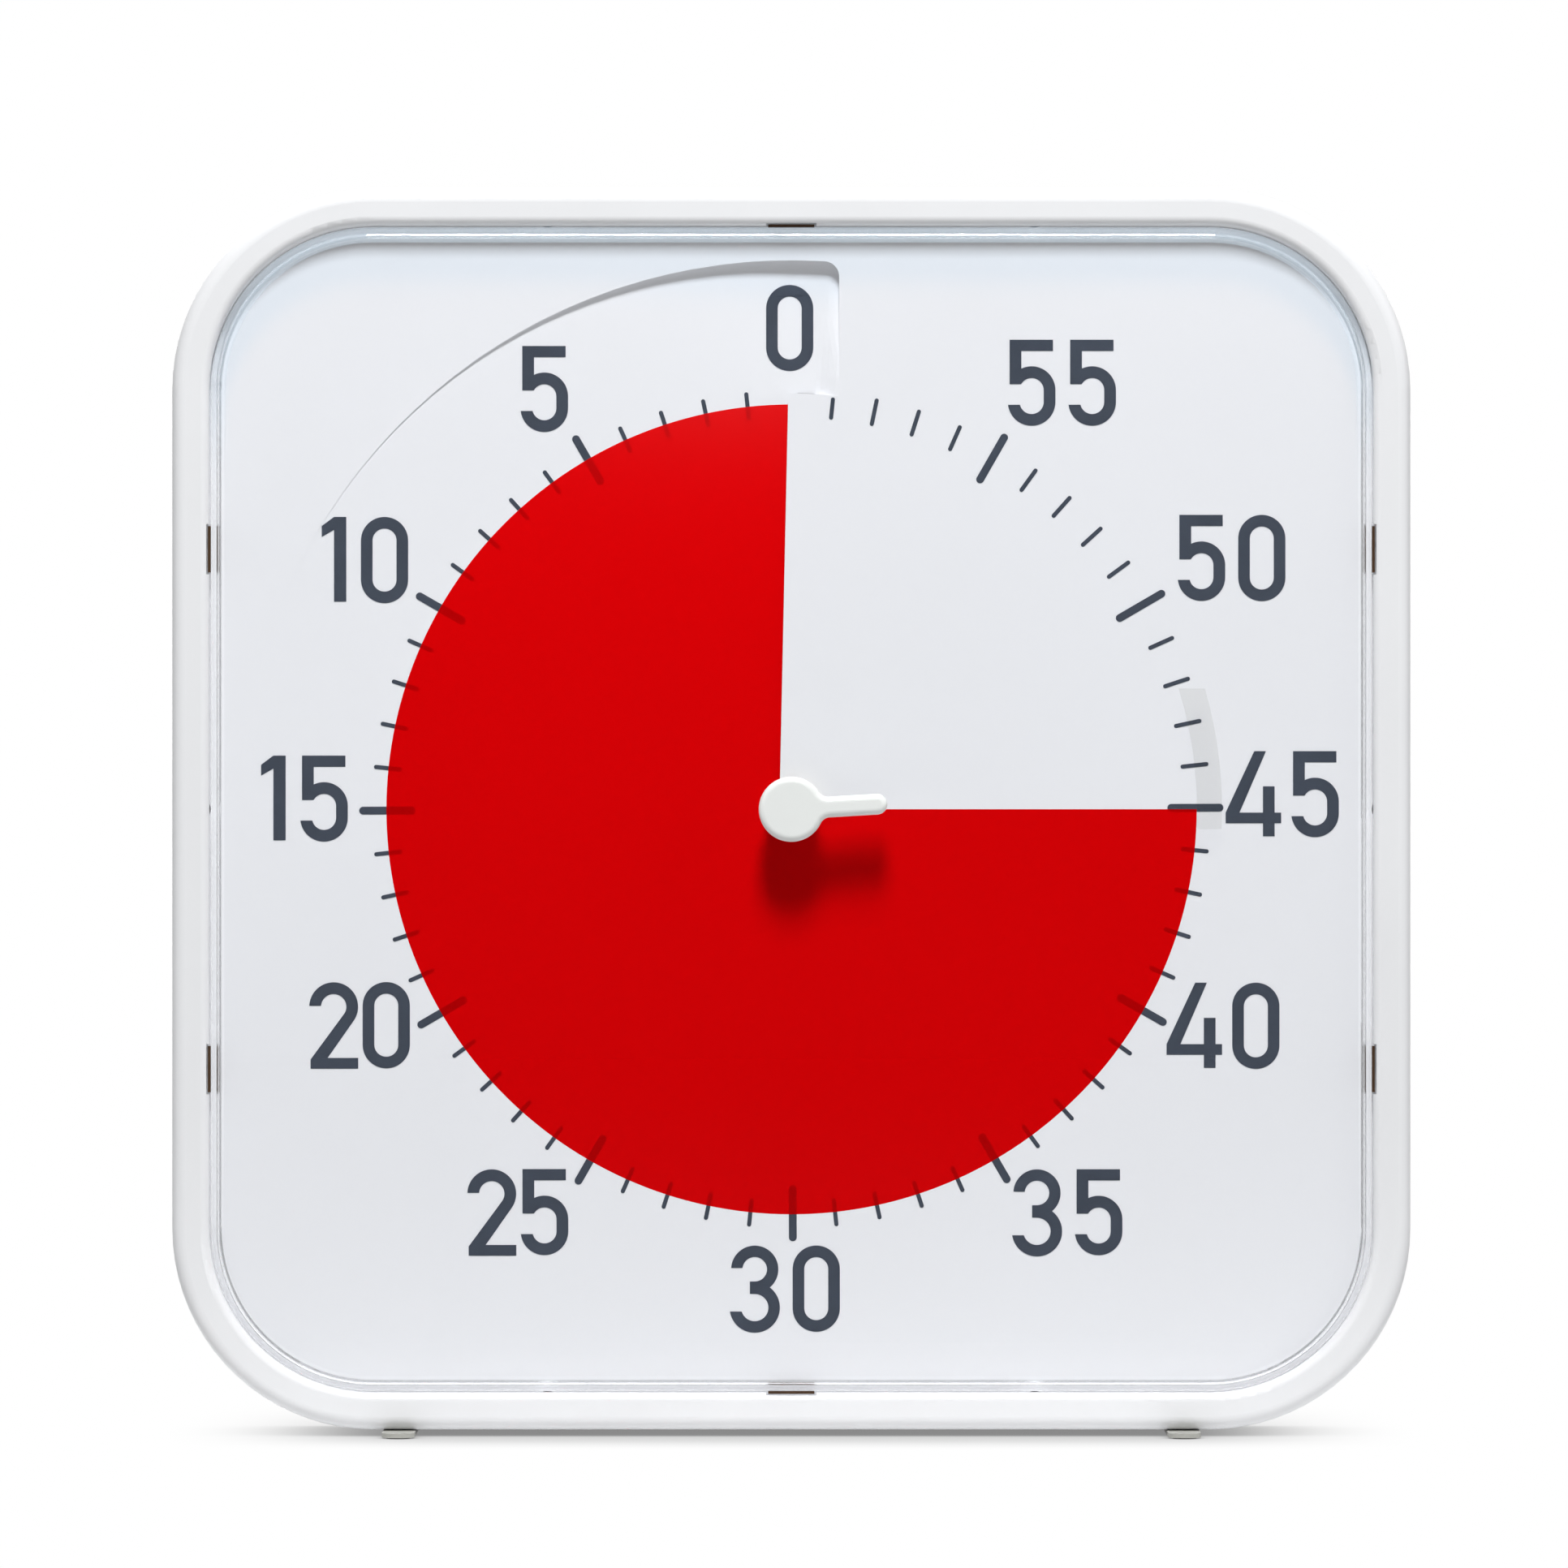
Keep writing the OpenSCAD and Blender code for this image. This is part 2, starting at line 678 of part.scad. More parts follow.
module rotor() {
    color("dimgrey") face_space() translate([rotor_at[0], rotor_at[1], 0]) {
        slab(third_d - 0.3, third_d + 1.3) gear_plan(rotor_z, 90 + 180 / rotor_z);
        slab(stator_d - 1, stator_d + stator_t + 1) circle(rotor_mag_r);
        slab(move_d + move_wall - 0.8, move_back_d - 0.6) circle(arbor_r);
    }
}

// ---- movement ----

module movement_case() {
    color("white") face_space() difference() {
        union() {
            slab(move_d, move_lid_d) difference() {
                rounded(move_w, move_w, 4);
                rounded(move_w - 2 * move_wall, move_w - 2 * move_wall, 2.5);
            }
            slab(move_d, move_d + move_wall) rounded(move_w, move_w, 4);
            slab(move_d - 0.9, move_d + move_wall) circle(shaft_r + 2.6);
            for (p = [third_at, rotor_at]) slab(move_d, move_d + move_wall + 0.5)
                translate(p) circle(arbor_r + 1.2);
            slab(move_d, stator_d) for (p = stator_posts) translate(p) circle(1.2);
        }
        translate([0, 0, -move_back_d]) cylinder(h = move_back_d, r = shaft_r + run_clear);
        for (p = [third_at, rotor_at]) translate([p[0], p[1], -move_back_d])
            cylinder(h = move_back_d - move_d - 0.6, r = arbor_r + run_clear);
    }
}

module movement_cover() {
    color("white") face_space() difference() {
        union() {
            slab(move_lid_d, move_back_d) rounded(move_w, move_w, 4);
            slab(move_lid_d, move_back_d) for (sx = [-1, 1], sy = [-1, 1])
                translate([sx * ear_at, sy * (move_w / 2 - 8)]) union() {
                    circle(4);
                    translate([sx > 0 ? -5 : 0, -4]) square([5, 8]);
                }
            slab(move_lid_d - 1.2, move_lid_d + eps) difference() {
                rounded(move_w - 2 * move_wall - 0.4, move_w - 2 * move_wall - 0.4, 2.3);
                rounded(move_w - 2 * move_wall - 2.4, move_w - 2 * move_wall - 2.4, 1.5);
            }
        }
        translate([0, 0, -move_back_d - 1]) cylinder(h = 4 * move_wall, r = pivot_r + run_clear);
        for (p = [third_at, rotor_at]) translate([p[0], p[1], -move_back_d + 0.4])
            cylinder(h = 3 * move_wall, r = arbor_r + run_clear);
        for (sx = [-1, 1], sy = [-1, 1])
            translate([sx * ear_at, sy * (move_w / 2 - 8), -move_back_d - 1])
                cylinder(h = 4 * move_wall, r = screw_r + 0.2);
    }
}

module screw_at(x, y, head_d, side, len) {
    translate([x, y, -head_d]) mirror([0, 0, side]) {
        difference() {
            cylinder(h = 1.7, r = screw_head_r);
            for (a = [0, 90]) rotate(a) translate([-1.7, -0.35, 0.9]) cube([3.4, 0.7, 1]);
        }
        translate([0, 0, -len]) cylinder(h = len + eps, r = screw_r);
    }
}

module movement_screws() {
    color("silver") face_space() for (sx = [-1, 1], sy = [-1, 1])
        screw_at(sx * ear_at, sy * (move_w / 2 - 8), move_lid_d, 0, 5);
}

module cover_screws() {
    color("silver") face_space() for (p = boss_at)
        screw_at(p[0], p[1], body_depth - 2.2, 1, body_depth - 2.2 - boss_end_d + 7);
}

module stator_core() {
    left_x = coil_at[0] - coil_len / 2 - 3.5;
    arm_y = rotor_at[1] - 5;
    color("grey") face_space() {
        slab(stator_d, stator_d + stator_t) difference() {
            union() {
                translate(rotor_at) circle(rotor_mag_r + 3.4);
                translate([left_x, coil_at[1] - 1.5]) square([3, arm_y - coil_at[1] + 4.9]);
                translate([left_x, arm_y]) square([rotor_at[0] - left_x, 3.4]);
                translate([coil_at[0] + coil_len / 2 + 0.5, coil_at[1] - 1.5])
                    square([3.5, arm_y - coil_at[1] + 1.6]);
                translate([left_x, coil_at[1] - 1.5]) square([coil_len + 7, 2.4]);
            }
            translate(rotor_at) circle(rotor_mag_r + 0.6);
        }
    }
}

module drive_coil() {
    color("peru") face_space()
        translate([coil_at[0] - coil_len / 2, coil_at[1] - 0.3, -stator_d - stator_t / 2])
            rotate([0, 90, 0]) difference() {
                union() {
                    cylinder(h = coil_len, r = coil_r - 0.5);
                    cylinder(h = 1, r = coil_r);
                    translate([0, 0, coil_len - 1]) cylinder(h = 1, r = coil_r);
                }
                translate([0, 0, -1]) cylinder(h = coil_len + 2, r = 1.5);
            }
}

// ---- rear cover ----

module cover_profile() {
    difference() {
        union() {
            translate([back_r, -body_depth + back_r]) circle(back_r);
            translate([0, -body_depth + back_r]) square([back_r, cover_wall_h - back_r - 0.3]);
            translate([back_r - eps, -body_depth]) square([7, wall]);
        }
        translate([wall, -floor_d]) square([20, cover_wall_h + 5]);
    }
    translate([wall + 0.25, -seam_d - 3]) square([1.5, 6]);
    translate([wall - eps, -seam_d - 3]) square([1, 2.7]);
}

module key_hole() {
    circle(hanger_r);
    translate([-hanger_slot / 2, 0]) square([hanger_slot, 10]);
    translate([0, 10]) circle(hanger_slot / 2);
}

module rear_ribs() {
    y_in = face_h / 2 - border_w;
    x_in = face_w / 2 - border_w;
    slab(dial_back_d + seat, floor_d + eps) {
        for (s = [-1, 1], t = [-1, 1]) {
            translate([s * rib_x - rib_w / 2, t * y_in - rib_t / 2]) square([rib_w, rib_t]);
            translate([t * x_in - rib_t / 2, s * rib_x - rib_w / 2]) square([rib_t, rib_w]);
        }
    }
}

module rear_cover() {
    ring_t = 1.5;
    hanger_w = 2 * hanger_r + 4;
    color("white") face_space() difference() {
        union() {
            around(face_w, face_h, corner_r) cover_profile();
            slab(floor_d, body_depth)
                rounded(face_w - 2 * back_r - 2, face_h - 2 * back_r - 2, corner_r - back_r - 1);
            rear_ribs();
            for (p = boss_at) {
                translate([p[0], p[1], -floor_d]) cylinder(h = floor_d - boss_end_d - seat, r = boss_r);
                translate([p[0], p[1], -floor_d]) cylinder(h = cover_wall_h - wall - 0.5, r = boss_r + 0.6);
            }
            for (sx = [-1, 1], sy = [-1, 1])
                translate([sx * ear_at, sy * (move_w / 2 - 8), -floor_d - eps])
                    cylinder(h = floor_d - move_back_d, r = 3.4);
            slab(tub_d - tub_wall, floor_d + eps) translate([0, -cell_drop])
                rounded(tub_w + 2 * tub_wall, tub_h + 2 * tub_wall, 1.6);
            slab(floor_d - beeper_t - 0.6, floor_d + eps) translate(beeper_at)
                circle(beeper_r + seat + ring_t);
            slab(floor_d - 6 - ring_t, floor_d + eps) translate([0, hanger_up + 4])
                rounded(hanger_w + 2 * ring_t, hanger_w + 10 + 2 * ring_t, 2);
            for (s = [-1, 1]) slab(board_d + board_t + eps, floor_d + eps)
                translate(switch_at + [s * (board_w / 2 - 4), s * (board_h / 2 - 4)]) circle(2.6);
        }
        for (p = boss_at) {
            translate([p[0], p[1], -body_depth - 1])
                cylinder(h = body_depth - boss_end_d + 2, r = screw_r + 0.2);
            translate([p[0], p[1], -body_depth - 1]) cylinder(h = 3.2, r = screw_head_r + 0.2);
        }
        for (s = [-1, 1]) translate([s * foot_x, -face_h / 2, -pivot_d])
            rotate([-90, 0, 0]) cylinder(h = 9, r = foot_hub_r + 3);
        for (sx = [-1, 1], sy = [-1, 1])
            translate([sx * ear_at, sy * (move_w / 2 - 8), -floor_d])
                cylinder(h = 20, r = screw_r + run_clear);
        slab(tub_d, body_depth + 1) translate([0, -cell_drop]) rounded(tub_w, tub_h, 1);
        slab(door_d - 0.1, body_depth + 1) translate([0, -cell_drop])
            rounded(door_w + 0.5, door_h + 0.5, 2.2);
        slab(floor_d - beeper_t - 1, floor_d) translate(beeper_at) circle(beeper_r + seat);
        slab(floor_d - 1, body_depth + 1) translate(beeper_at) {
            circle(1.2);
            for (i = [0:5]) rotate(60 * i) translate([beeper_r * 0.45, 0]) circle(1.2);
        }
        slab(floor_d - 6, floor_d) translate([0, hanger_up + 4]) rounded(hanger_w, hanger_w + 10, 1);
        slab(floor_d - 1, body_depth + 1) translate([0, hanger_up]) key_hole();
        slab(floor_d - 1, body_depth + 1) translate(switch_at)
            rounded(switch_travel + 5, 4.6, 1);
        slab(body_depth - 1, body_depth + 1) translate(switch_at)
            rounded(switch_travel + 11, 9, 2);
    }
}

// ---- sound switch and beeper ----

module circuit_board() {
    color("darkgreen") face_space() slab(board_d, board_d + board_t) translate(switch_at) difference() {
        square([board_w, board_h], center = true);
        for (s = [-1, 1]) translate([-s * (board_w / 2 - 4), s * (board_h / 2 - 4)]) circle(1.2);
    }
}

module switch_body() {
    color("silver") face_space() translate(switch_at) difference() {
        slab(board_d + board_t, floor_d - seat) square([switch_travel + 9, 7], center = true);
        slab(board_d + board_t + 1.6, floor_d) square([switch_travel + 6.4, 4.4], center = true);
    }
}

module switch_knob() {
    at_x = switch_at[0] - switch_travel / 2;
    color("black") face_space() {
        slab(board_d + board_t + 1.9, floor_d - 0.7) translate([at_x, switch_at[1]])
            square([6, 4], center = true);
        slab(floor_d - 0.7 - eps, body_depth - 0.4) translate([at_x, switch_at[1]])
            rounded(4, 3.8, 0.6);
    }
}

module beeper() {
    color("black") face_space() difference() {
        slab(floor_d - beeper_t, floor_d - 0.1) translate(beeper_at) circle(beeper_r);
        slab(floor_d - 1.2, floor_d) translate(beeper_at) circle(1.5);
    }
}

// ---- battery ----

module battery_cell() {
    nub = 1.2;
    color("orange") face_space() translate([-cell_len / 2, -cell_drop, -cell_d]) rotate([0, 90, 0]) {
        cylinder(h = cell_len - nub, r = cell_r);
        translate([0, 0, cell_len - nub - eps]) cylinder(h = nub + eps, r = 2.75);
    }
}

module battery_contact_positive() {
    color("silver") face_space() translate([tub_w / 2 - 0.5, -cell_drop, -cell_d]) {
        translate([0, -5, -5]) cube([0.4, 10, 10]);
        translate([-2.2, 0, 0]) rotate([0, 90, 0]) cylinder(h = 2.2 + eps, r = 2);
    }
}

module battery_spring_negative() {
    leaf_r = 7;
    leaf_dx = 2.3;
    color("silver") face_space() translate([-tub_w / 2 + 0.1, -cell_drop, -cell_d]) {
        translate([0, -5, -5]) cube([0.4, 10, 10]);
        translate([0, 0, -3]) linear_extrude(6) intersection() {
            translate([-leaf_r + leaf_dx + 0.4, 0]) difference() {
                circle(leaf_r);
                circle(leaf_r - 0.4);
            }
            translate([0.3, -5]) square([6, 10]);
        }
    }
}

module battery_door() {
    color("white") face_space() translate([0, -cell_drop, 0]) {
        slab(door_d, door_d + door_t) rounded(door_w, door_h, 2);
        for (s = [-1, 1]) slab(door_d - 3, door_d + eps)
            translate([s * (tub_w / 2 - 1.2), 0]) square([1.2, 8], center = true);
        for (i = [-2:2]) slab(door_d + door_t - eps, body_depth)
            translate([door_w / 2 - 8 + 2 * i, 0]) square([0.8, 10], center = true);
    }
}

// ---- feet ----

module foot_space(s) {
    translate([s * foot_x, pivot_d - body_depth / 2, 0]) children();
}

module foot_bar_plan(w, len) {
    square([w, len - w], center = true);
    for (t = [-1, 1]) translate([0, t * (len - w) / 2]) circle(w / 2);
}

module foot(s) {
    low = 0.3;
    color("gainsboro") foot_space(s) difference() {
        union() {
            translate([0, 0, low]) linear_extrude(foot_bar_t) foot_bar_plan(foot_w, foot_len);
            translate([0, 0, low + foot_bar_t - eps])
                cylinder(h = foot_h + foot_hub_h - low - foot_bar_t + eps, r = foot_hub_r);
        }
        translate([0, 0, -1]) cylinder(h = 12, r = foot_pin_r + run_clear);
        translate([0, 0, -1]) cylinder(h = 1 + low + foot_bar_t - 0.1, r = 3.5);
        for (t = [-1, 1]) translate([0, t * (foot_len / 2 - foot_w / 2 - pad_len / 2 + 2), -1])
            linear_extrude(1 + pad_t) foot_bar_plan(foot_w - 2, pad_len);
    }
}

module foot_left() { foot(-1); }

module foot_right() { foot(1); }

module foot_pads(s) {
    color("dimgrey") foot_space(s) for (t = [-1, 1])
        translate([0, t * (foot_len / 2 - foot_w / 2 - pad_len / 2 + 2), 0])
            linear_extrude(pad_t) foot_bar_plan(foot_w - 2.1, pad_len - 0.1);
}

module foot_pads_left() { foot_pads(-1); }

module foot_pads_right() { foot_pads(1); }

module foot_pins() {
    low = 0.4;
    boss_top = foot_h + foot_hub_h + seat + 2.4;
    color("silver") for (s = [-1, 1]) foot_space(s) {
        translate([0, 0, low]) cylinder(h = boss_top - low + eps, r = foot_pin_r);
        translate([0, 0, low]) cylinder(h = 0.7, r = 3.4);
        translate([0, 0, boss_top]) cylinder(h = 0.8, r = 3.4);
    }
}

front_frame();
clear_lens();
dial_plate();
rear_cover();
cover_screws();
movement_case();
movement_cover();
movement_screws();
drive_coil();
stator_core();
circuit_board();
switch_body();
beeper();
battery_cell();
battery_contact_positive();
battery_spring_negative();
foot_pins();
centre_shaft();
pointer_knob();
minute_wheel();
friction_washer();
red_disk();
disk_hub();
disk_tab();
third_wheel();
rotor();
switch_knob();
battery_door();
foot_left();
foot_right();
foot_pads_left();
foot_pads_right();
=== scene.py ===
import json
import math

import bmesh
import bpy
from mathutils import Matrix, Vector


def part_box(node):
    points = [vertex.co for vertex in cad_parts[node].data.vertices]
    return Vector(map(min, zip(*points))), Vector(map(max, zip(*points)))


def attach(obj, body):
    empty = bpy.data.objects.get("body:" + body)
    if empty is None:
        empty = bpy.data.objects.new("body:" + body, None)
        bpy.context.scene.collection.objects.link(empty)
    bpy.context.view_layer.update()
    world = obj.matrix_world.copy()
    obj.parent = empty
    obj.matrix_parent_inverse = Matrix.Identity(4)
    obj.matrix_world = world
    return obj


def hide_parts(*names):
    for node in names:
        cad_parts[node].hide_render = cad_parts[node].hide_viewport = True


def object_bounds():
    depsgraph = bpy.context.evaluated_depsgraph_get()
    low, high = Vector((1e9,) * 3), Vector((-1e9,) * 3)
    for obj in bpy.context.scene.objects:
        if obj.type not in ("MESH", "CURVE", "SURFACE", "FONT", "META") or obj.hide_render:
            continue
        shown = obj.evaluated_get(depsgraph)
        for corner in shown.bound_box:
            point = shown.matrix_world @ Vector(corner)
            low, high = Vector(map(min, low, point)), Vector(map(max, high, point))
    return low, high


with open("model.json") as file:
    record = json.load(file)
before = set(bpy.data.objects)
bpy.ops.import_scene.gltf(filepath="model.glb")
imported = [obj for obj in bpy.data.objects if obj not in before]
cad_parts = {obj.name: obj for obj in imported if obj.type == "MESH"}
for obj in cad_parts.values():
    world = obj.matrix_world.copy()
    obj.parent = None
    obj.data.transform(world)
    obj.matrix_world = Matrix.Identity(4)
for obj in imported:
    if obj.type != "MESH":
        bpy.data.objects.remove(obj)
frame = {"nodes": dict(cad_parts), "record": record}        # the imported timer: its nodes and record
cad_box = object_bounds()
nodes = frame["nodes"]

MM = 0.001

# ---- places worked out from the frame, in metres ----

DIAL_LOW, DIAL_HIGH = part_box("dial_plate")
CENTRE_Z = (DIAL_LOW.z + DIAL_HIGH.z) / 2
FRONT_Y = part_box("front_frame")[0].y
DISK_LOW, DISK_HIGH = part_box("red_disk")
LENS_LOW, LENS_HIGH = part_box("clear_lens")
COUPLINGS = frame["record"]["behaviour"]["couplings"]
PITCH = 2 * math.pi * next(c["ratio"] for c in COUPLINGS if c["joint"] == "disk_rise")
DISK_T = DISK_HIGH.y - DISK_LOW.y - PITCH
DISK_R = (DISK_HIGH.x - DISK_LOW.x) / 2

# ---- what every new piece needs ----

SHARP = math.radians(30)     # a smooth piece keeps the edges that turn by more than this


def collect(obj):
    """Puts a new object in the scene."""
    bpy.context.scene.collection.objects.link(obj)
    return obj


def bridge(bm, near, far):
    """Faces between two closed rings that have the same number of points."""
    pairs = [(i, (i + 1) % len(near)) for i in range(len(near))]
    return [bm.faces.new((near[i], near[j], far[j], far[i])) for i, j in pairs]


def make_piece(name, bm, finishes, smooth=True):
    """Turns a finished bmesh into an object with these materials."""
    bmesh.ops.recalc_face_normals(bm, faces=bm.faces)
    mesh = bpy.data.meshes.new(name)
    bm.to_mesh(mesh)
    bm.free()
    if smooth:
        mesh.polygons.foreach_set("use_smooth", [True] * len(mesh.polygons))
        mesh.set_sharp_from_angle(angle=SHARP)
    for finish in finishes:
        mesh.materials.append(finish)
    return collect(bpy.data.objects.new(name, mesh))


# ---- printed dial, in millimetres ----

INK = 0.03               # thickness of the print
INK_LIFT = 0.05          # clears the facets of the helical ring under it
TICKS = 60
TICKS_PER_NUMERAL = 5
DIAL_TURN = 0.2          # degrees, counterclockwise
MINOR_TICK = (96.5, 103.4, 1.03)      # inner radius, outer radius, width
MAJOR_TICK = (92.7, 106.5, 1.93)
LAST_TICK_END = 102.0    # the last tick stops at the edge of the leaf
STROKE = 2.87            # width of a numeral's stroke
ARC_STEP = 6             # degrees between the points of an arc

# what each numeral reads and where its middle lies, right of and above the dial's centre
NUMERALS = [
    ("0", -0.4, 118.7), ("5", -60.9, 103.6), ("10", -105.1, 61.4), ("15", -120.0, 2.6),
    ("20", -106.4, -53.3), ("25", -67.4, -99.4), ("30", -1.6, -118.3), ("35", 68.0, -99.5),
    ("40", 106.4, -53.4), ("45", 121.0, 3.7), ("50", 108.5, 61.9), ("55", 66.7, 105.1),
]


def arc(cx, cy, radius, start, end):
    """Points on an arc, in degrees, with y down, so that 90 degrees is the lowest point."""
    count = max(1, math.ceil(abs(end - start) / ARC_STEP))
    angles = [math.radians(start + (end - start) * i / count) for i in range(count + 1)]
    return [(cx + radius * math.cos(a), cy + radius * math.sin(a)) for a in angles]


# Each digit gives its width, its height and its outlines. Its upper left corner is at 0, 0.

def digit_0():
    """Two half circles with straight sides."""
    width, height = 11.64, 21.27
    loops = []
    for radius in (width / 2, width / 2 - STROKE):
        loops.append(arc(width / 2, width / 2, radius, 180, 360)
                     + arc(width / 2, height - width / 2, radius, 0, 180))
    return width, height, loops


def digit_1():
    """A stem with a short flag."""
    flag, stem, height = 3.03, 3.03, 20.9
    root, tip_low, tip_high = 3.2, 4.95, 2.25     # depths of the flag's corners
    outline = [(flag, 0), (flag + stem, 0), (flag + stem, height), (flag, height),
               (flag, root), (0, tip_low), (0, tip_high)]
    return flag + stem, height, [outline]


def digit_2():
    """A bowl that runs straight down into the foot."""
    width, height = 12.04, 21.37
    cx, cy, outer, inner, turn = 6.0, 6.08, 6.02, 3.12, 36.3
    foot = height - 2.67
    heel, heel_top, notch = 0.3, foot + 0.37, 4.5
    outline = (arc(cx, cy, outer, 182, 360 + turn)
               + [(notch, foot), (width, foot), (width, height), (heel, height), (heel, heel_top)]
               + arc(cx, cy, inner, 360 + turn, 184))
    return width, height, [outline]


def digit_3():
    """Two bowls that meet at a short bar."""
    width, height = 12.4, 21.5
    cx, upper, lower = 6.16, 5.85, 15.3
    upper_outer, upper_inner, lower_outer, lower_inner = 5.82, 3.02, 6.2, 3.36
    bar = 4.95
    outline = (arc(cx, upper, upper_outer, 183, 360 + 50.6)
               + arc(cx, lower, lower_outer, -53.5, 171)
               + arc(cx, lower, lower_inner, 163, -90)
               + [(bar, lower - lower_inner), (bar, upper + upper_inner)]
               + arc(cx, upper, upper_inner, 90, -174.5))
    return width, height, [outline]


def digit_4():
    """A slanted stroke, a bar and a short stem."""
    width, height = 13.69, 21.0
    slant_left, slant_right, slant_foot = 7.06, 9.95, 3.41
    bar_top, bar_low = 15.15, 17.78
    stem_left, stem_right, stem_top = 9.19, 12.08, 8.67
    outline = [(slant_left, 0), (slant_right, 0), (slant_foot, bar_top), (stem_left, bar_top),
               (stem_left, stem_top), (stem_right, stem_top), (stem_right, bar_top),
               (width, bar_top), (width, bar_low), (stem_right, bar_low), (stem_right, height),
               (stem_left, height), (stem_left, bar_low), (0, bar_low), (0, bar_top)]
    return width, height, [outline]


def digit_5():
    """A flag on a bowl with straight sides."""
    width, height = 11.72, 21.2
    radius, upper, lower = 5.86, 12.4, 15.35
    inner = radius - 2.9
    left, right, flag, stem, shelf = 0.42, 11.12, 2.77, 3.33, 10.96
    outline = ([(left, 0), (right, 0), (right, flag), (stem, flag)]
               + arc(radius, upper, radius, 244.4, 360)
               + arc(radius, lower, radius, 0, 173.4)
               + arc(radius, lower, inner, 167, 0)
               + arc(radius, upper, inner, 0, -151)
               + [(left, shelf)])
    return width, height, [outline]


DIGITS = {
    "0": digit_0(), "1": digit_1(), "2": digit_2(),
    "3": digit_3(), "4": digit_4(), "5": digit_5(),
}
SPACE_AFTER = {"0": 3.0, "1": 3.6, "2": 1.1, "3": 3.1, "4": 2.5, "5": 3.2}


def numeral_outlines(text, mid_x, mid_z):
    """Outlines of a numeral round its middle, right of and above the dial's centre."""
    widths = [DIGITS[c][0] for c in text]
    gaps = [SPACE_AFTER[c] for c in text]
    left = mid_x - (sum(widths) + sum(gaps[:-1])) / 2
    top = mid_z + max(DIGITS[c][1] for c in text) / 2
    loops = []
    for c, width, gap in zip(text, widths, gaps):
        loops += [[(left + x, top - y) for x, y in outline] for outline in DIGITS[c][2]]
        left += width + gap
    return loops


def tick_outline(number, inner, outer, width):
    """A bar with round ends that points at the dial's centre."""
    half = width / 2
    out = math.radians(number * 360 / TICKS + DIAL_TURN)
    along = Vector((-math.sin(out), math.cos(out)))
    across = Vector((along.y, -along.x))
    bar = [(x, y + outer - half) for x, y in arc(0, 0, half, 0, 180)]
    bar += [(x, y + inner + half) for x, y in arc(0, 0, half, 180, 360)]
    return [tuple(across * x + along * y) for x, y in bar]


def lay_on_dial(name, outlines, finish):
    """A thin solid of ink with these outlines, laid on the front of the dial plate."""
    flat = bpy.data.curves.new(name, "CURVE")
    flat.dimensions = "2D"
    flat.fill_mode = "BOTH"
    flat.extrude = INK * MM / 2
    for outline in outlines:
        spline = flat.splines.new("POLY")
        spline.points.add(len(outline) - 1)
        for point, (x, z) in zip(spline.points, outline):
            point.co = (x * MM, z * MM, 0, 1)
        spline.use_cyclic_u = True
    source = collect(bpy.data.objects.new(name + ".outline", flat))
    bpy.context.view_layer.update()
    graph = bpy.context.evaluated_depsgraph_get()
    mesh = bpy.data.meshes.new_from_object(source.evaluated_get(graph))
    bpy.data.objects.remove(source)
    bm = bmesh.new()
    bm.from_mesh(mesh)
    bmesh.ops.remove_doubles(bm, verts=bm.verts, dist=INK * MM / 10)
    for v in bm.verts:
        x, z, lift = v.co.x, CENTRE_Z + v.co.y, v.co.z + (INK_LIFT + INK / 2) * MM
        hit, place, _normal, _face = nodes["dial_plate"].ray_cast((x, FRONT_Y, z), (0, 1, 0))
        v.co = (x, (place.y if hit else DIAL_LOW.y) - lift, z)
    bm.to_mesh(mesh)
    bm.free()
    mesh.name = name
    mesh.materials.clear()
    mesh.materials.append(finish)
    piece = collect(bpy.data.objects.new(name, mesh))
    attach(piece, "case")
    return piece


# ---- materials ----

def srgb(red, green, blue):
    """Linear colour of a screen colour with values from 0 to 255."""
    shares = (c / 255 for c in (red, green, blue))
    linear = (c / 12.92 if c <= 0.04045 else ((c + 0.055) / 1.055) ** 2.4 for c in shares)
    return tuple(linear) + (1.0,)


WHITE = (1.0, 1.0, 1.0, 1.0)
FRAME_WHITE = srgb(229, 230, 232)
KNOB_WHITE = srgb(229, 232, 230)
DIAL_WHITE = srgb(240, 241, 244)
SLATE = srgb(62, 69, 81)
DISK_RED = srgb(208, 0, 4)
CLEAR = srgb(252, 253, 254)

FILM_RED = srgb(255, 4, 8)                # colour of the light that goes through the film
FILM_PASSED = 0.3                         # share of it
FILM_IOR = 1.02
FILM_BLUR = 0.35                          # roughness for that light
FILM_DOME = 7.0 * MM                      # how far the middle of the film seems to bulge
FILM_CROWN = 9.5 * MM                     # how far its upper end seems to lean back besides

ACRYLIC_IOR = 1.45
WINDOW_ROUGH = 0.004
TAB_ROUGH = 0.05
FACE_PASSED = (0.97, 0.97, 0.975, 1.0)    # what one face of clear plastic leaves of a lamp's light
PAINTED_SHADE_PASSED = (0.9, 0.935, 0.965, 1.0)    # the same at the top of the edge, darker and bluer: painted shade cast on the dial below
# blue of the diffuse layer that paints the top of the window's edge lighter
PAINTED_LIGHT_BLUE = srgb(214, 230, 243)
PAINTED_LIGHT_SHARE = 0.18                               # share of it at the top of the window's edge, which paints the top of the edge lighter
PAINTED_TOP_FROM = (CENTRE_Z + 80 * MM, CENTRE_Z + 125 * MM)    # heights where the painted shade and the lighter top start and are whole
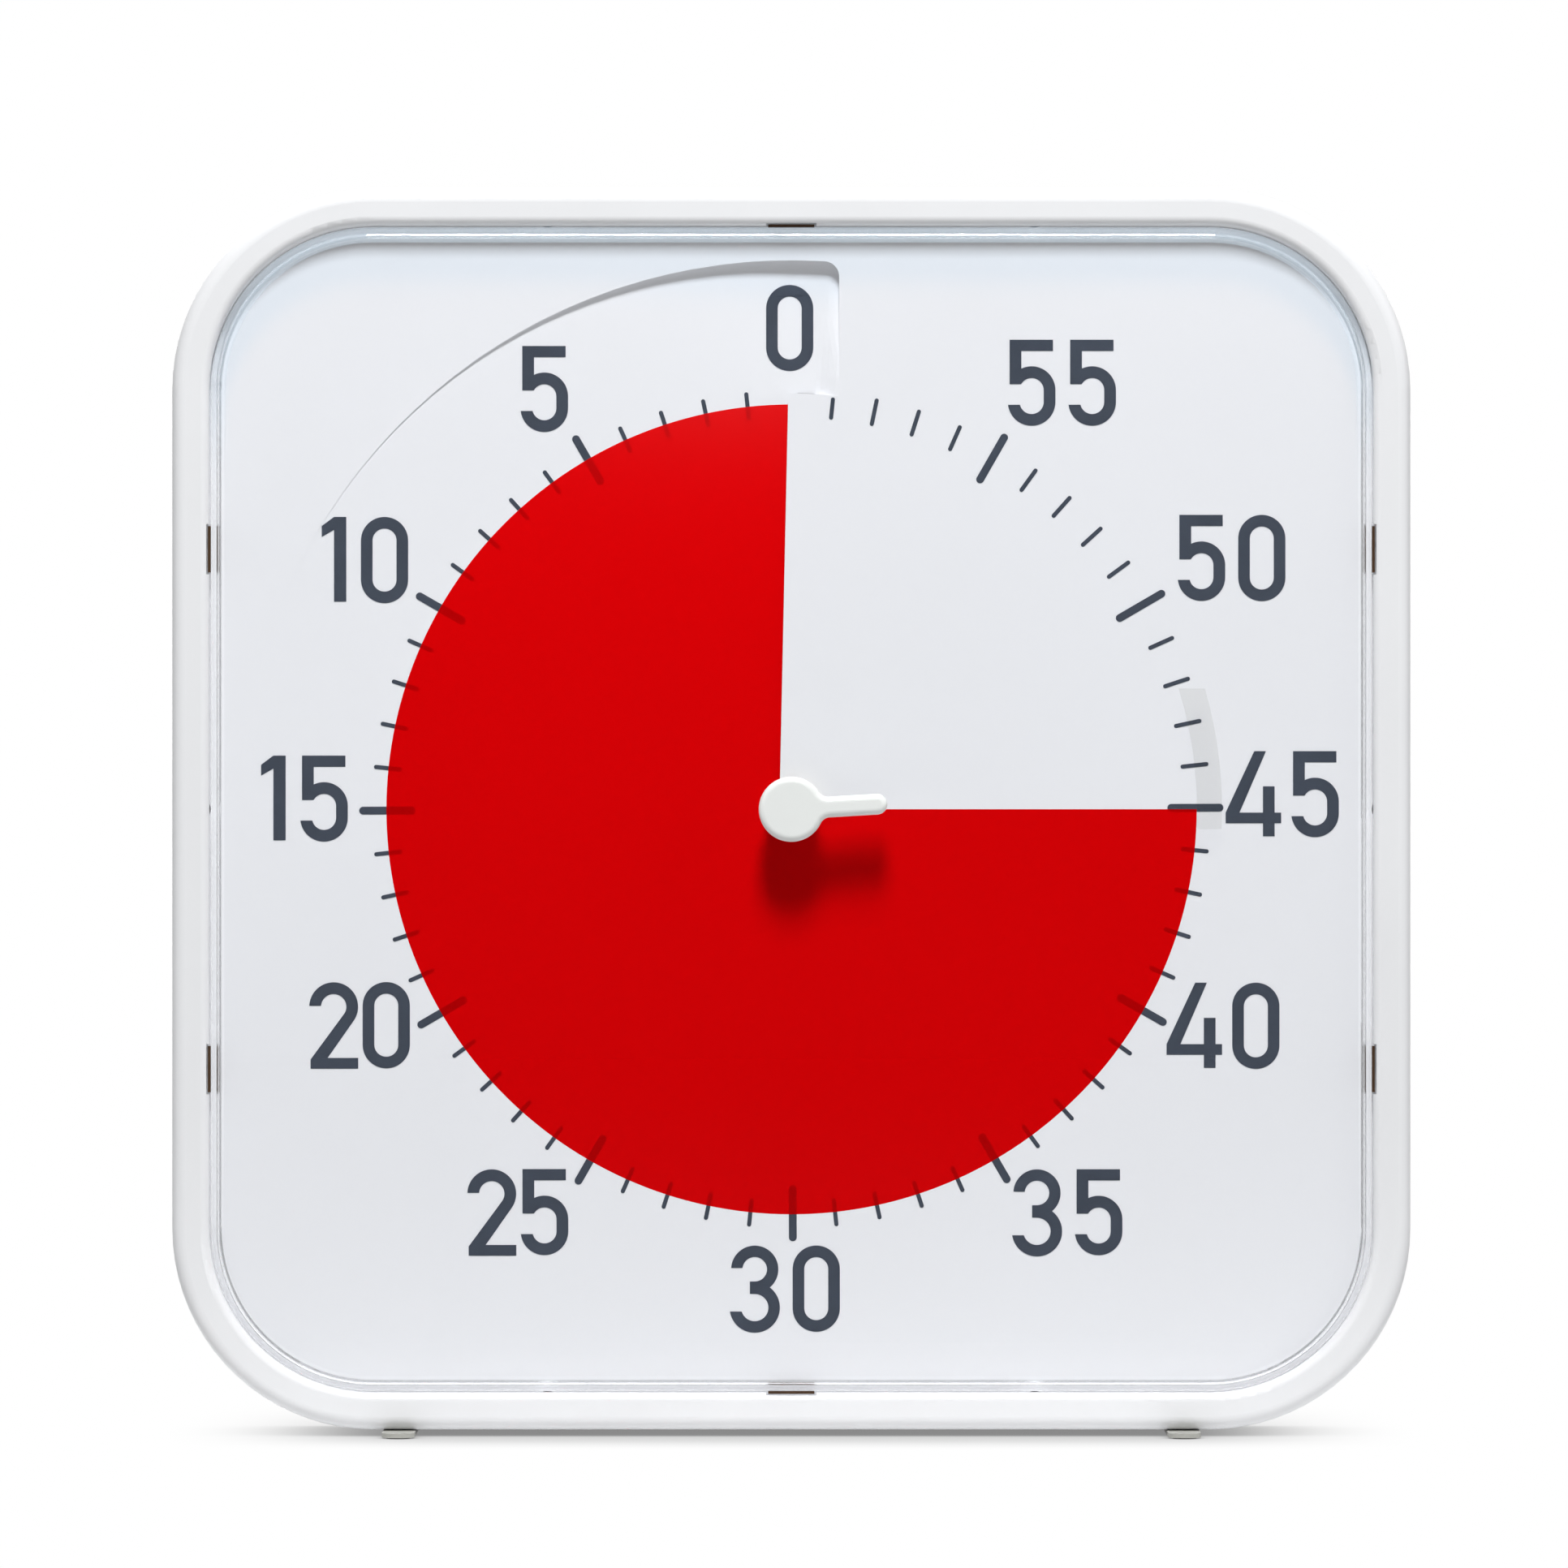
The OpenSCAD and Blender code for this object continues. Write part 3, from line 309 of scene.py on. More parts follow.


class Finish:
    """A material and short ways to add nodes to it."""

    def __init__(self, name, **settings):
        self.material = bpy.data.materials.new(name)
        self.material.use_nodes = True
        self.tree = self.material.node_tree
        self.shader = self.tree.nodes["Principled BSDF"]
        self.output = self.tree.nodes["Material Output"]
        self.coords = self.add("ShaderNodeTexCoord").outputs["Object"]
        for key, value in settings.items():
            self.shader.inputs[key.replace("_", " ")].default_value = value

    def add(self, kind, **settings):
        """A new node with these properties."""
        node = self.tree.nodes.new(kind)
        for key, value in settings.items():
            setattr(node, key, value)
        return node

    def link(self, source, target):
        """Joins an output to an input."""
        self.tree.links.new(source, target)

    def noise(self, scale, detail, stretch=None):
        """Noise in object space, with scale in cells per metre."""
        node = self.add("ShaderNodeTexNoise")
        node.inputs["Scale"].default_value = scale
        node.inputs["Detail"].default_value = detail
        place = self.coords
        if stretch:
            mapping = self.add("ShaderNodeMapping")
            mapping.inputs["Scale"].default_value = stretch
            self.link(place, mapping.inputs["Vector"])
            place = mapping.outputs["Vector"]
        self.link(place, node.inputs["Vector"])
        return node.outputs["Fac"]

    def ramp_between(self, low, high):
        """A node that runs smoothly from 0 at low to 1 at high."""
        node = self.add("ShaderNodeMapRange", interpolation_type="SMOOTHSTEP")
        node.inputs["From Min"].default_value = low
        node.inputs["From Max"].default_value = high
        return node

    def tint(self, factor, low, high, start=0.35, end=0.65):
        """Base colour that runs from low to high with factor."""
        ramp = self.add("ShaderNodeValToRGB")
        ramp.color_ramp.elements[0].position = start
        ramp.color_ramp.elements[0].color = low
        ramp.color_ramp.elements[1].position = end
        ramp.color_ramp.elements[1].color = high
        self.link(factor, ramp.inputs["Fac"])
        self.link(ramp.outputs["Color"], self.shader.inputs["Base Color"])

    def vary_roughness(self, factor, low, high):
        """Roughness that runs from low to high with factor."""
        spread = self.add("ShaderNodeMapRange")
        spread.inputs["To Min"].default_value = low
        spread.inputs["To Max"].default_value = high
        self.link(factor, spread.inputs["Value"])
        self.link(spread.outputs["Result"], self.shader.inputs["Roughness"])

    def bump(self, factor, height_mm, strength=1.0):
        """Relief whose height is factor times height_mm."""
        node = self.add("ShaderNodeBump")
        node.inputs["Strength"].default_value = strength
        node.inputs["Distance"].default_value = height_mm * MM
        self.link(factor, node.inputs["Height"])
        self.link(node.outputs["Normal"], self.shader.inputs["Normal"])


def shade(colour, factor):
    """The colour made darker or lighter by a factor."""
    return tuple(min(1.0, c * factor) for c in colour[:3]) + (1.0,)


def moulded(name, colour, rough, grain=0.01, specular=0.5):
    """Injection-moulded plastic: fine spark texture, faint flow marks and uneven gloss."""
    f = Finish(name, Specular_IOR_Level=specular)
    f.tint(f.noise(18, 2), shade(colour, 0.985), shade(colour, 1.01))
    f.vary_roughness(f.noise(60, 3), rough - 0.04, rough + 0.05)
    f.bump(f.noise(2600, 2), grain, 0.4)
    return f.material


def metal(name, colour, rough, stretch=(1, 1, 12)):
    """Plated or drawn metal with fine lines along one way."""
    f = Finish(name, Metallic=1.0)
    lines = f.noise(900, 3, stretch=stretch)
    f.tint(lines, shade(colour, 0.85), shade(colour, 1.05))
    f.vary_roughness(lines, rough - 0.08, rough + 0.1)
    f.bump(lines, 0.004, 0.5)
    return f.material


def printed(name, colour):
    """Matt ink with a slightly uneven film."""
    f = Finish(name, Specular_IOR_Level=0.25)
    f.tint(f.noise(90, 3), shade(colour, 0.93), shade(colour, 1.05))
    f.vary_roughness(f.noise(400, 2), 0.45, 0.6)
    f.bump(f.noise(3000, 2), 0.004, 0.3)
    return f.material


def dial_sheet(name, colour):
    """Fine satin face of the dial plate."""
    f = Finish(name, Specular_IOR_Level=0.3)
    f.tint(f.noise(8, 2), shade(colour, 0.99), shade(colour, 1.005))
    f.vary_roughness(f.noise(40, 3), 0.42, 0.52)
    f.bump(f.noise(3200, 2), 0.006, 0.3)
    return f.material


def wound_wire(name, colour):
    """Enamelled wire wound side by side along X; the darker band of each turn is painted shade in the groove between
    turns.
    """
    f = Finish(name, Metallic=0.9, Roughness=0.35)
    wave = f.add("ShaderNodeTexWave", wave_type="BANDS", bands_direction="X")
    wave.inputs["Scale"].default_value = 700
    f.link(f.coords, wave.inputs["Vector"])
    # darker bands: painted shade in the grooves between turns
    f.tint(wave.outputs["Fac"], shade(colour, 0.45), colour, 0.2, 0.8)
    f.bump(wave.outputs["Fac"], 0.06)
    return f.material


def board(name, colour):
    """Circuit board lacquer over woven glass."""
    f = Finish(name, Coat_Weight=0.3)
    weave = f.noise(1500, 2, stretch=(1, 1, 3))
    f.tint(weave, shade(colour, 0.8), shade(colour, 1.15))
    f.vary_roughness(f.noise(200, 2), 0.3, 0.45)
    f.bump(weave, 0.02, 0.4)
    return f.material


def cell_jacket(name, body_colour, end_colour):
    """Battery jacket in two plain colours, split across its length."""
    split = 0.55         # share of the length in the first colour
    blend = 0.01         # share of the length over which they change
    low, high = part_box("battery_cell")
    f = Finish(name, Metallic=0.4, Coat_Weight=0.5)
    parts = f.add("ShaderNodeSeparateXYZ")
    along = f.add("ShaderNodeMapRange")
    along.inputs["From Min"].default_value = low.x
    along.inputs["From Max"].default_value = high.x
    f.link(f.coords, parts.inputs["Vector"])
    f.link(parts.outputs["X"], along.inputs["Value"])
    f.tint(along.outputs["Result"], body_colour, end_colour, split, split + blend)
    f.vary_roughness(f.noise(120, 3), 0.25, 0.38)
    return f.material


def rubber(name, colour):
    """Matt rubber with a fine dusty grain."""
    f = Finish(name, Specular_IOR_Level=0.3)
    f.tint(f.noise(300, 4), shade(colour, 0.8), shade(colour, 1.15))
    f.vary_roughness(f.noise(800, 2), 0.7, 0.88)
    f.bump(f.noise(2400, 3), 0.02, 0.5)
    return f.material


def let_lamps_through(f, seen):
    """Lamps and soft light pass the piece straight, and other rays see it as it is.

    Returns the node whose second colour, white at first, tints the light of lamps."""
    path = f.add("ShaderNodeLightPath")
    either = f.add("ShaderNodeMath", operation="MAXIMUM")
    passed = f.add("ShaderNodeMixRGB")
    passed.inputs["Color1"].default_value = WHITE
    passed.inputs["Color2"].default_value = WHITE
    clear = f.add("ShaderNodeBsdfTransparent")
    mix = f.add("ShaderNodeMixShader")
    f.link(path.outputs["Is Shadow Ray"], passed.inputs["Fac"])
    f.link(passed.outputs["Color"], clear.inputs["Color"])
    f.link(path.outputs["Is Shadow Ray"], either.inputs[0])
    f.link(path.outputs["Is Diffuse Ray"], either.inputs[1])
    f.link(either.outputs["Value"], mix.inputs["Fac"])
    f.link(seen, mix.inputs[1])
    f.link(clear.outputs["BSDF"], mix.inputs[2])
    f.link(mix.outputs["Shader"], f.output.inputs["Surface"])
    return passed


def acrylic(name, colour, rough):
    """Clear moulded acrylic with faint polishing haze, as other finishes build on it."""
    f = Finish(name, Transmission_Weight=1.0, IOR=ACRYLIC_IOR)
    f.tint(f.noise(12, 2), shade(colour, 0.995), colour)
    f.vary_roughness(f.noise(35, 4), rough * 0.5, rough * 1.5)
    return f


def clear_plastic(name, colour, rough):
    """A clear wall, which darkens what lies behind it very little."""
    f = acrylic(name, colour, rough)
    passed = let_lamps_through(f, f.shader.outputs["BSDF"])
    passed.inputs["Color2"].default_value = FACE_PASSED
    return f.material


def edge_with_painted_shade(name, colour, rough):
    """The window's thick edge: clear at the bottom; towards the top a blue diffuse layer paints it lighter, and the
    lamp light it lets through is tinted darker and bluer, a painted shadow on the dial standing in for the light its
    rolled edge bends away.
    """
    f = acrylic(name, colour, rough)
    place = f.add("ShaderNodeSeparateXYZ")
    upper = f.ramp_between(*PAINTED_TOP_FROM)
    share = f.add("ShaderNodeMath", operation="MULTIPLY")
    share.inputs[1].default_value = PAINTED_LIGHT_SHARE
    # a blue diffuse layer that paints the top of the edge lighter
    painted_light = f.add("ShaderNodeBsdfDiffuse")
    painted_light.inputs["Color"].default_value = PAINTED_LIGHT_BLUE
    whole = f.add("ShaderNodeMixShader")
    # lamp light through the top of the edge is tinted darker: a painted shadow on the dial
    left = f.add("ShaderNodeMixRGB")
    left.inputs["Color1"].default_value = FACE_PASSED
    left.inputs["Color2"].default_value = PAINTED_SHADE_PASSED
    f.link(f.coords, place.inputs["Vector"])
    f.link(place.outputs["Z"], upper.inputs["Value"])
    f.link(upper.outputs["Result"], share.inputs[0])
    f.link(upper.outputs["Result"], left.inputs["Fac"])
    f.link(share.outputs["Value"], whole.inputs["Fac"])
    f.link(f.shader.outputs["BSDF"], whole.inputs[1])
    f.link(painted_light.outputs["BSDF"], whole.inputs[2])
    passed = let_lamps_through(f, whole.outputs["Shader"])
    f.link(left.outputs["Color"], passed.inputs["Color2"])
    return f.material


def film_relief(f):
    """How far the film seems to stand forward, in metres: a dome that leans back at the top."""
    from_axis = f.add("ShaderNodeVectorMath", operation="SUBTRACT")
    from_axis.inputs[1].default_value = (0, 0, CENTRE_Z)
    flat = f.add("ShaderNodeVectorMath", operation="MULTIPLY")
    flat.inputs[1].default_value = (1, 0, 1)
    square = f.add("ShaderNodeVectorMath", operation="DOT_PRODUCT")
    dome = f.add("ShaderNodeMath", operation="MULTIPLY")
    dome.inputs[1].default_value = -FILM_DOME / DISK_R ** 2
    parts = f.add("ShaderNodeSeparateXYZ")
    above = f.add("ShaderNodeMath", operation="MAXIMUM")
    above.inputs[1].default_value = 0.0
    cube = f.add("ShaderNodeMath", operation="POWER")
    cube.inputs[1].default_value = 3.0
    crown = f.add("ShaderNodeMath", operation="MULTIPLY_ADD")
    crown.inputs[1].default_value = -FILM_CROWN / DISK_R ** 3
    f.link(f.coords, from_axis.inputs[0])
    f.link(from_axis.outputs["Vector"], flat.inputs[0])
    f.link(flat.outputs["Vector"], square.inputs[0])
    f.link(flat.outputs["Vector"], square.inputs[1])
    f.link(square.outputs["Value"], dome.inputs[0])
    f.link(flat.outputs["Vector"], parts.inputs["Vector"])
    f.link(parts.outputs["Z"], above.inputs[0])
    f.link(above.outputs["Value"], cube.inputs[0])
    f.link(cube.outputs["Value"], crown.inputs[0])
    f.link(dome.outputs["Value"], crown.inputs[2])
    return crown.outputs["Value"]


def film(name, colour, through_colour):
    """Red film: it scatters most of the light, and the print behind it shows through."""
    f = Finish(name, Specular_IOR_Level=0.012)
    f.tint(f.noise(10, 2), shade(colour, 0.985), shade(colour, 1.01))
    f.vary_roughness(f.noise(50, 3), 0.3, 0.42)
    f.bump(film_relief(f), 1 / MM)
    through = f.add("ShaderNodeBsdfRefraction")
    through.inputs["IOR"].default_value = FILM_IOR
    through.inputs["Roughness"].default_value = FILM_BLUR
    through.inputs["Color"].default_value = through_colour
    skin = f.add("ShaderNodeMixShader")
    skin.inputs["Fac"].default_value = FILM_PASSED
    clear = f.add("ShaderNodeBsdfTransparent")
    side = f.add("ShaderNodeNewGeometry").outputs["Backfacing"]
    both = f.add("ShaderNodeMixShader")
    f.link(f.shader.outputs["BSDF"], skin.inputs[1])
    f.link(through.outputs["BSDF"], skin.inputs[2])
    f.link(side, both.inputs["Fac"])
    f.link(skin.outputs["Shader"], both.inputs[1])
    f.link(clear.outputs["BSDF"], both.inputs[2])
    let_lamps_through(f, both.outputs["Shader"])
    return f.material


# ---- the frame's own nodes ----

def dress(finish, *names):
    """Gives CAD nodes their finish."""
    for name in names:
        slots = nodes[name].data.materials
        slots.clear()
        slots.append(finish)


def dress_frame():
    """Gives every CAD node that stays visible its finish."""
    dress(moulded("frame_white", FRAME_WHITE, rough=0.3),
          "front_frame", "rear_cover", "battery_door")
    dress(dial_sheet("dial_white", DIAL_WHITE), "dial_plate")
    dress(moulded("movement_plastic", srgb(226, 224, 216), rough=0.4),
          "movement_case", "movement_cover")
    dress(moulded("gear_plastic", srgb(232, 226, 208), rough=0.35),
          "minute_wheel", "third_wheel", "disk_hub")
    dress(metal("screw_steel", srgb(176, 178, 182), rough=0.3),
          "cover_screws", "movement_screws", "foot_pins")
    dress(metal("shaft_steel", srgb(190, 192, 196), rough=0.22, stretch=(12, 1, 12)),
          "centre_shaft", "friction_washer")
    dress(metal("core_steel", srgb(120, 122, 126), rough=0.4), "stator_core")
    dress(metal("contact_metal", srgb(196, 190, 174), rough=0.28),
          "battery_contact_positive", "battery_spring_negative", "switch_body")
    dress(wound_wire("coil_wire", srgb(184, 96, 48)), "drive_coil")
    dress(board("board_green", srgb(24, 92, 54)), "circuit_board")
    dress(moulded("dark_plastic", srgb(38, 39, 42), rough=0.4, grain=0.015),
          "beeper", "rotor", "switch_knob")
    dress(cell_jacket("cell_wrap", srgb(60, 62, 66), srgb(196, 120, 48)), "battery_cell")
    dress(moulded("foot_grey", srgb(160, 160, 154), rough=0.45, grain=0.02),
          "foot_left", "foot_right")
    dress(rubber("pad_rubber", srgb(70, 68, 66)), "foot_pads_left", "foot_pads_right")
    dress(clear_plastic("tab_clear", srgb(250, 250, 248), TAB_ROUGH), "disk_tab")


# ---- the coloured disk ----

DISK_LEAD = 270          # degrees counterclockwise from the top to the leading edge
DISK_STEPS = 240         # steps round the disk
DISK_CHAMFER = 0.08 * MM
DISK_RINGS = [r * MM for r in (6.55, 8, 11, 16, 25, 45, 70)]     # from the hub's edge outwards
RIM_RING = 2 * MM        # distance of one more ring from the rim


def make_disk():
    """The helical film at rest, cut along one radius, finer and softer than its CAD solid."""
    zero_y = DISK_HIGH.y - PITCH * (360 - DISK_LEAD) / 360
    radii = DISK_RINGS + [DISK_R - RIM_RING, DISK_R - DISK_CHAMFER]
    profile = [(r, DISK_T) for r in radii]
    profile += [(DISK_R, DISK_T - DISK_CHAMFER), (DISK_R, DISK_CHAMFER)]
    profile += [(r, 0.0) for r in reversed(radii)]
    bm = bmesh.new()
    sections = []
    for i in range(DISK_STEPS + 1):
        turn = DISK_LEAD - 360 + 360 * i / DISK_STEPS
        a = math.radians(turn)
        back = zero_y - PITCH * turn / 360
        sections.append([bm.verts.new((-r * math.sin(a), back - lift, CENTRE_Z + r * math.cos(a)))
                         for r, lift in profile])
    for near, far in zip(sections, sections[1:]):
        bridge(bm, near, far)
    last = len(radii) - 1
    for cut in (sections[0], sections[-1]):
        for k in range(last):
            bm.faces.new((cut[k], cut[k + 1], cut[-2 - k], cut[-1 - k]))
        bm.faces.new(cut[last:last + 4])
    piece = make_piece("disk_film", bm, [film("disk_red", DISK_RED, FILM_RED)])
    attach(piece, "disk")
    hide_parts("red_disk")


# ---- the knob ----

KNOB_R = 8.0 * MM
POINTER_REACH = 23.6 * MM    # from the axis to the pointer's tip
POINTER_W = 5.1 * MM
POINTER_TILT = 3.4           # degrees above level
POINTER_BACK = 2.4 * MM      # the pointer's underside stands this far off the knob's back
ROOT_R = 2.6 * MM            # fillet between the boss and the pointer
KNOB_EDGE = 1.6 * MM         # rounding of the upper edge
KNOB_FACE_RING = 0.2 * MM    # a ring this far inside it keeps the face's shading flat
BOSS_R = 7.5 * MM            # boss under the cap
KNOB_BORE = (3.05 * MM, 3.7 * MM)    # radius and depth of the bore for the shaft
TIP_STEPS, ROOT_STEPS, ROUND_STEPS, EDGE_STEPS = 30, 12, 72, 10


def sweep(cx, cz, radius, start, end, steps):
    """Points on an arc round cx, cz, with angles in radians."""
    angles = [start + (end - start) * i / steps for i in range(steps + 1)]
    return [(cx + radius * math.cos(a), cz + radius * math.sin(a)) for a in angles]


def knob_outline(inset):
    """Points round the knob and its pointer, drawn in from the edge by inset."""
    half = POINTER_W / 2
    quarter = math.pi / 2
    root_z = half + ROOT_R
    turn = math.asin(root_z / (KNOB_R + ROOT_R))
    root_x = (KNOB_R + ROOT_R) * math.cos(turn)
    root = ROOT_R + inset
    points = sweep(POINTER_REACH - half, 0, half - inset, -quarter, quarter, TIP_STEPS)
    points += sweep(root_x, root_z, root, 3 * quarter, math.pi + turn, ROOT_STEPS)
    points += sweep(0, 0, KNOB_R - inset, turn, 2 * math.pi - turn, ROUND_STEPS)[1:-1]
    points += sweep(root_x, -root_z, root, math.pi - turn, quarter, ROOT_STEPS)
    return points


def make_knob():
    """Knob and pointer with a smooth rounded edge, finer than their CAD solid."""
    low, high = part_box("pointer_knob")
    front, back = low.y, high.y
    tilt = math.radians(POINTER_TILT)
    edge = knob_outline(0.0)
    bearing = [math.atan2(z, x) for x, z in edge]
    bm = bmesh.new()

    def ring(points, y):
        return [bm.verts.new((x * math.cos(tilt) - z * math.sin(tilt), y,
                              CENTRE_Z + x * math.sin(tilt) + z * math.cos(tilt)))
                for x, z in points]

    def circle(radius, y):
        return ring([(radius * math.cos(a), radius * math.sin(a)) for a in bearing], y)

    bore_r, bore_deep = KNOB_BORE
    rings = [circle(bore_r, back - bore_deep), circle(bore_r, back), circle(BOSS_R, back),
             circle(BOSS_R, back - POINTER_BACK), ring(edge, back - POINTER_BACK)]
    for i in range(EDGE_STEPS + 1):
        t = math.pi / 2 * i / EDGE_STEPS
        inset, depth = KNOB_EDGE * (1 - math.cos(t)), KNOB_EDGE * (1 - math.sin(t))
        rings.append(ring(knob_outline(inset), front + depth))
    rings.append(ring(knob_outline(KNOB_EDGE + KNOB_FACE_RING), front))
    for near, far in zip(rings, rings[1:]):
        bridge(bm, near, far)
    bm.faces.new(rings[0])
    bm.faces.new(rings[-1])
    piece = make_piece("knob", bm, [moulded("knob_white", KNOB_WHITE, rough=0.28)])
    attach(piece, "knob_shaft")
    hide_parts("pointer_knob")


# ---- the window ----

WINDOW_T = 2.0 * MM      # wall of the window
WINDOW_ROLL = 3.5 * MM   # radius of its rolled edge
FLANGE_OUT = 3.1 * MM    # how far its flange reaches out behind the frame
FLANGE_T = 2.0 * MM
FLAT_RING = 0.4 * MM     # a ring this far on from a curve keeps the flat part's shading flat
CORNER = 39.9 * MM       # radius of its corners seen from the front
CORNER_STEPS, ROLL_STEPS = 28, 14
SHAFT_HOLE = 3.5 * MM    # radius
LUG = (11.4 * MM, 0.8 * MM, 1.0 * MM)     # length, reach and thickness of a snap lug
LUG_BACK = 1.9 * MM      # depth of the lugs behind the front of the frame
LUG_SIDE = 64 * MM       # distance of the side lugs from the middle
LUG_SINK = 0.02 * MM     # how far a lug reaches into the window's edge
BOX_FACES = ((0, 1, 2, 3), (7, 6, 5, 4), (0, 4, 5, 1), (1, 5, 6, 2), (2, 6, 7, 3), (3, 7, 4, 0))


def round_corner_path(width, height, radius):
    """Places and outward directions round a rounded rectangle, counterclockwise."""
    path = []
    for quarter in range(4):
        sx = 1 if quarter in (0, 3) else -1
        sz = 1 if quarter in (0, 1) else -1
        cx, cz = sx * (width / 2 - radius), sz * (height / 2 - radius)
        for i in range(CORNER_STEPS + 1):
            a = math.radians(90 * quarter + 90 * i / CORNER_STEPS)
            path.append((cx + radius * math.cos(a), cz + radius * math.sin(a),
                         math.cos(a), math.sin(a)))
    return path


def window_profile(front, back):
    """Insets and depths round the window's wall: the outside up to its face, then the inside."""
    turns = [math.radians(90 * i / ROLL_STEPS) for i in range(ROLL_STEPS + 1)]
    inner_r = WINDOW_ROLL - WINDOW_T
    level = WINDOW_ROLL + FLAT_RING
    outside = [(-FLANGE_OUT, back), (-FLANGE_OUT, back - FLANGE_T), (0.0, back - FLANGE_T)]
    outside += [(WINDOW_ROLL * (1 - math.cos(t)), front + WINDOW_ROLL * (1 - math.sin(t)))
                for t in turns]
    outside.append((level, front))
    inside = [(level, front + WINDOW_T)]
    inside += [(WINDOW_ROLL - inner_r * math.cos(t), front + WINDOW_ROLL - inner_r * math.sin(t))
               for t in reversed(turns)]
    inside += [(WINDOW_T, back - FLAT_RING), (WINDOW_T, back)]
    return outside, inside


def make_window():
    """The window with a smooth rolled edge, finer than its CAD solid."""
    width = LENS_HIGH.x - LENS_LOW.x - 2 * FLANGE_OUT
    height = LENS_HIGH.z - LENS_LOW.z - 2 * FLANGE_OUT
    path = round_corner_path(width, height, CORNER)
    outside, inside = window_profile(LENS_LOW.y, LENS_HIGH.y)
    bm = bmesh.new()
    rings = [[bm.verts.new((x - dx * inset, y, CENTRE_Z + z - dz * inset)) for x, z, dx, dz in path]
             for inset, y in outside + inside]
    face = len(outside) - 1
    for k, ring in enumerate(rings):
        if k != face:
            for part in bridge(bm, ring, rings[(k + 1) % len(rings)]):
                part.material_index = 1
    holes = []
    for ring in rings[face:face + 2]:
        bearing = [math.atan2(v.co.z - CENTRE_Z, v.co.x) for v in ring]
        holes.append([bm.verts.new((SHAFT_HOLE * math.cos(a), ring[0].co.y,
                                    CENTRE_Z + SHAFT_HOLE * math.sin(a))) for a in bearing])
        bridge(bm, ring, holes[-1])
    bridge(bm, *holes)
    # the edge gets a painted lighter top and casts a painted shadow on the dial
    piece = make_piece("window", bm, [clear_plastic("clear_window", CLEAR, WINDOW_ROUGH),
                                      edge_with_painted_shade("clear_window_edge_painted_top", CLEAR, WINDOW_ROUGH)])
    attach(piece, "case")
    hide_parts("clear_lens")
    make_lugs(width, height)


def make_lugs(width, height):
    """Six snap lugs on the window's edge in dark brown, painted shade that makes their slits look dark from the
    front.
    """
    long, reach, thick = LUG
    right, up = Vector((1, 0, 0)), Vector((0, 0, 1))
    places = [(up, right, height / 2, 0), (-up, right, height / 2, 0)]
    places += [(out, up, width / 2, at) for out in (right, -right) for at in (LUG_SIDE, -LUG_SIDE)]
    bm = bmesh.new()
    for out, along, edge, at in places:
        near, far = edge - LUG_SINK, edge - LUG_SINK + reach
        outline = ((-long / 2, near), (long / 2, near), (long / 2, far), (-long / 2, far))
        corners = [bm.verts.new(Vector((0, FRONT_Y + LUG_BACK + d, CENTRE_Z))
                                + along * (at + a) + out * o)
                   for d in (0, thick) for a, o in outline]
        for face in BOX_FACES:
            bm.faces.new([corners[k] for k in face])
    # dark brown: painted shade inside the slits
    slit_painted_shade = moulded("slit_painted_shade", srgb(70, 52, 38), rough=0.6, specular=0.1)
    piece = make_piece("window_lugs", bm, [slit_painted_shade], smooth=False)
    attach(piece, "case")


# ---- the print ----

def make_print():
    """Numerals and ticks, each laid on the dial plate."""
    ink = printed("dial_ink", SLATE)
    for text, x, z in NUMERALS:
        lay_on_dial("numeral_" + text, numeral_outlines(text, x, z), ink)
    minor = []
    for n in range(1, TICKS):
        if n % TICKS_PER_NUMERAL:
            inner, outer, width = MINOR_TICK
            outer = LAST_TICK_END if n == TICKS - 1 else outer
            minor.append(tick_outline(n, inner, outer, width))
    major = [tick_outline(n, *MAJOR_TICK) for n in range(TICKS_PER_NUMERAL, TICKS, TICKS_PER_NUMERAL)]
    lay_on_dial("ticks_minute", minor, ink)
    lay_on_dial("ticks_five_minutes", major, ink)


# ---- studio ----

CAMERA_DISTANCE = 2.5    # metres in front of the frame
FIELD = 0.38576          # width of the view at the front of the frame, in metres
SENSOR = 36.0            # millimetres
CLIP = (0.05, 50)        # metres
AIM = (-0.0018, 0.1606)  # where the view's middle lies, along X and Z

FLAG_BLACK = (0.01, 0.01, 0.012, 1)
FLAG_LIFT = 2 * MM       # above the floor

SKY_OPEN = 0.88          # where the floor sees this share of open sky, it has no shadow
SHADOW_DEPTH = 0.75      # how dark the shadow is where it sees none
SHADOW_SAMPLES = 16
SHADOW_SIDES = (0.158, 0.09)     # distances to the side where the shadow ends and is whole
SHADOW_FRONT = (-0.075, -0.028)  # the same along Y, towards the camera


def add_camera():
    """A level camera straight before the timer."""
    data = bpy.data.cameras.new("camera")
    data.sensor_width = SENSOR
    data.lens = SENSOR * CAMERA_DISTANCE / FIELD
    data.clip_start, data.clip_end = CLIP
    camera = collect(bpy.data.objects.new("camera", data))
    camera.location = (AIM[0], FRONT_Y - CAMERA_DISTANCE, AIM[1])
    camera.rotation_euler = (math.radians(90), 0, 0)
    bpy.context.scene.camera = camera


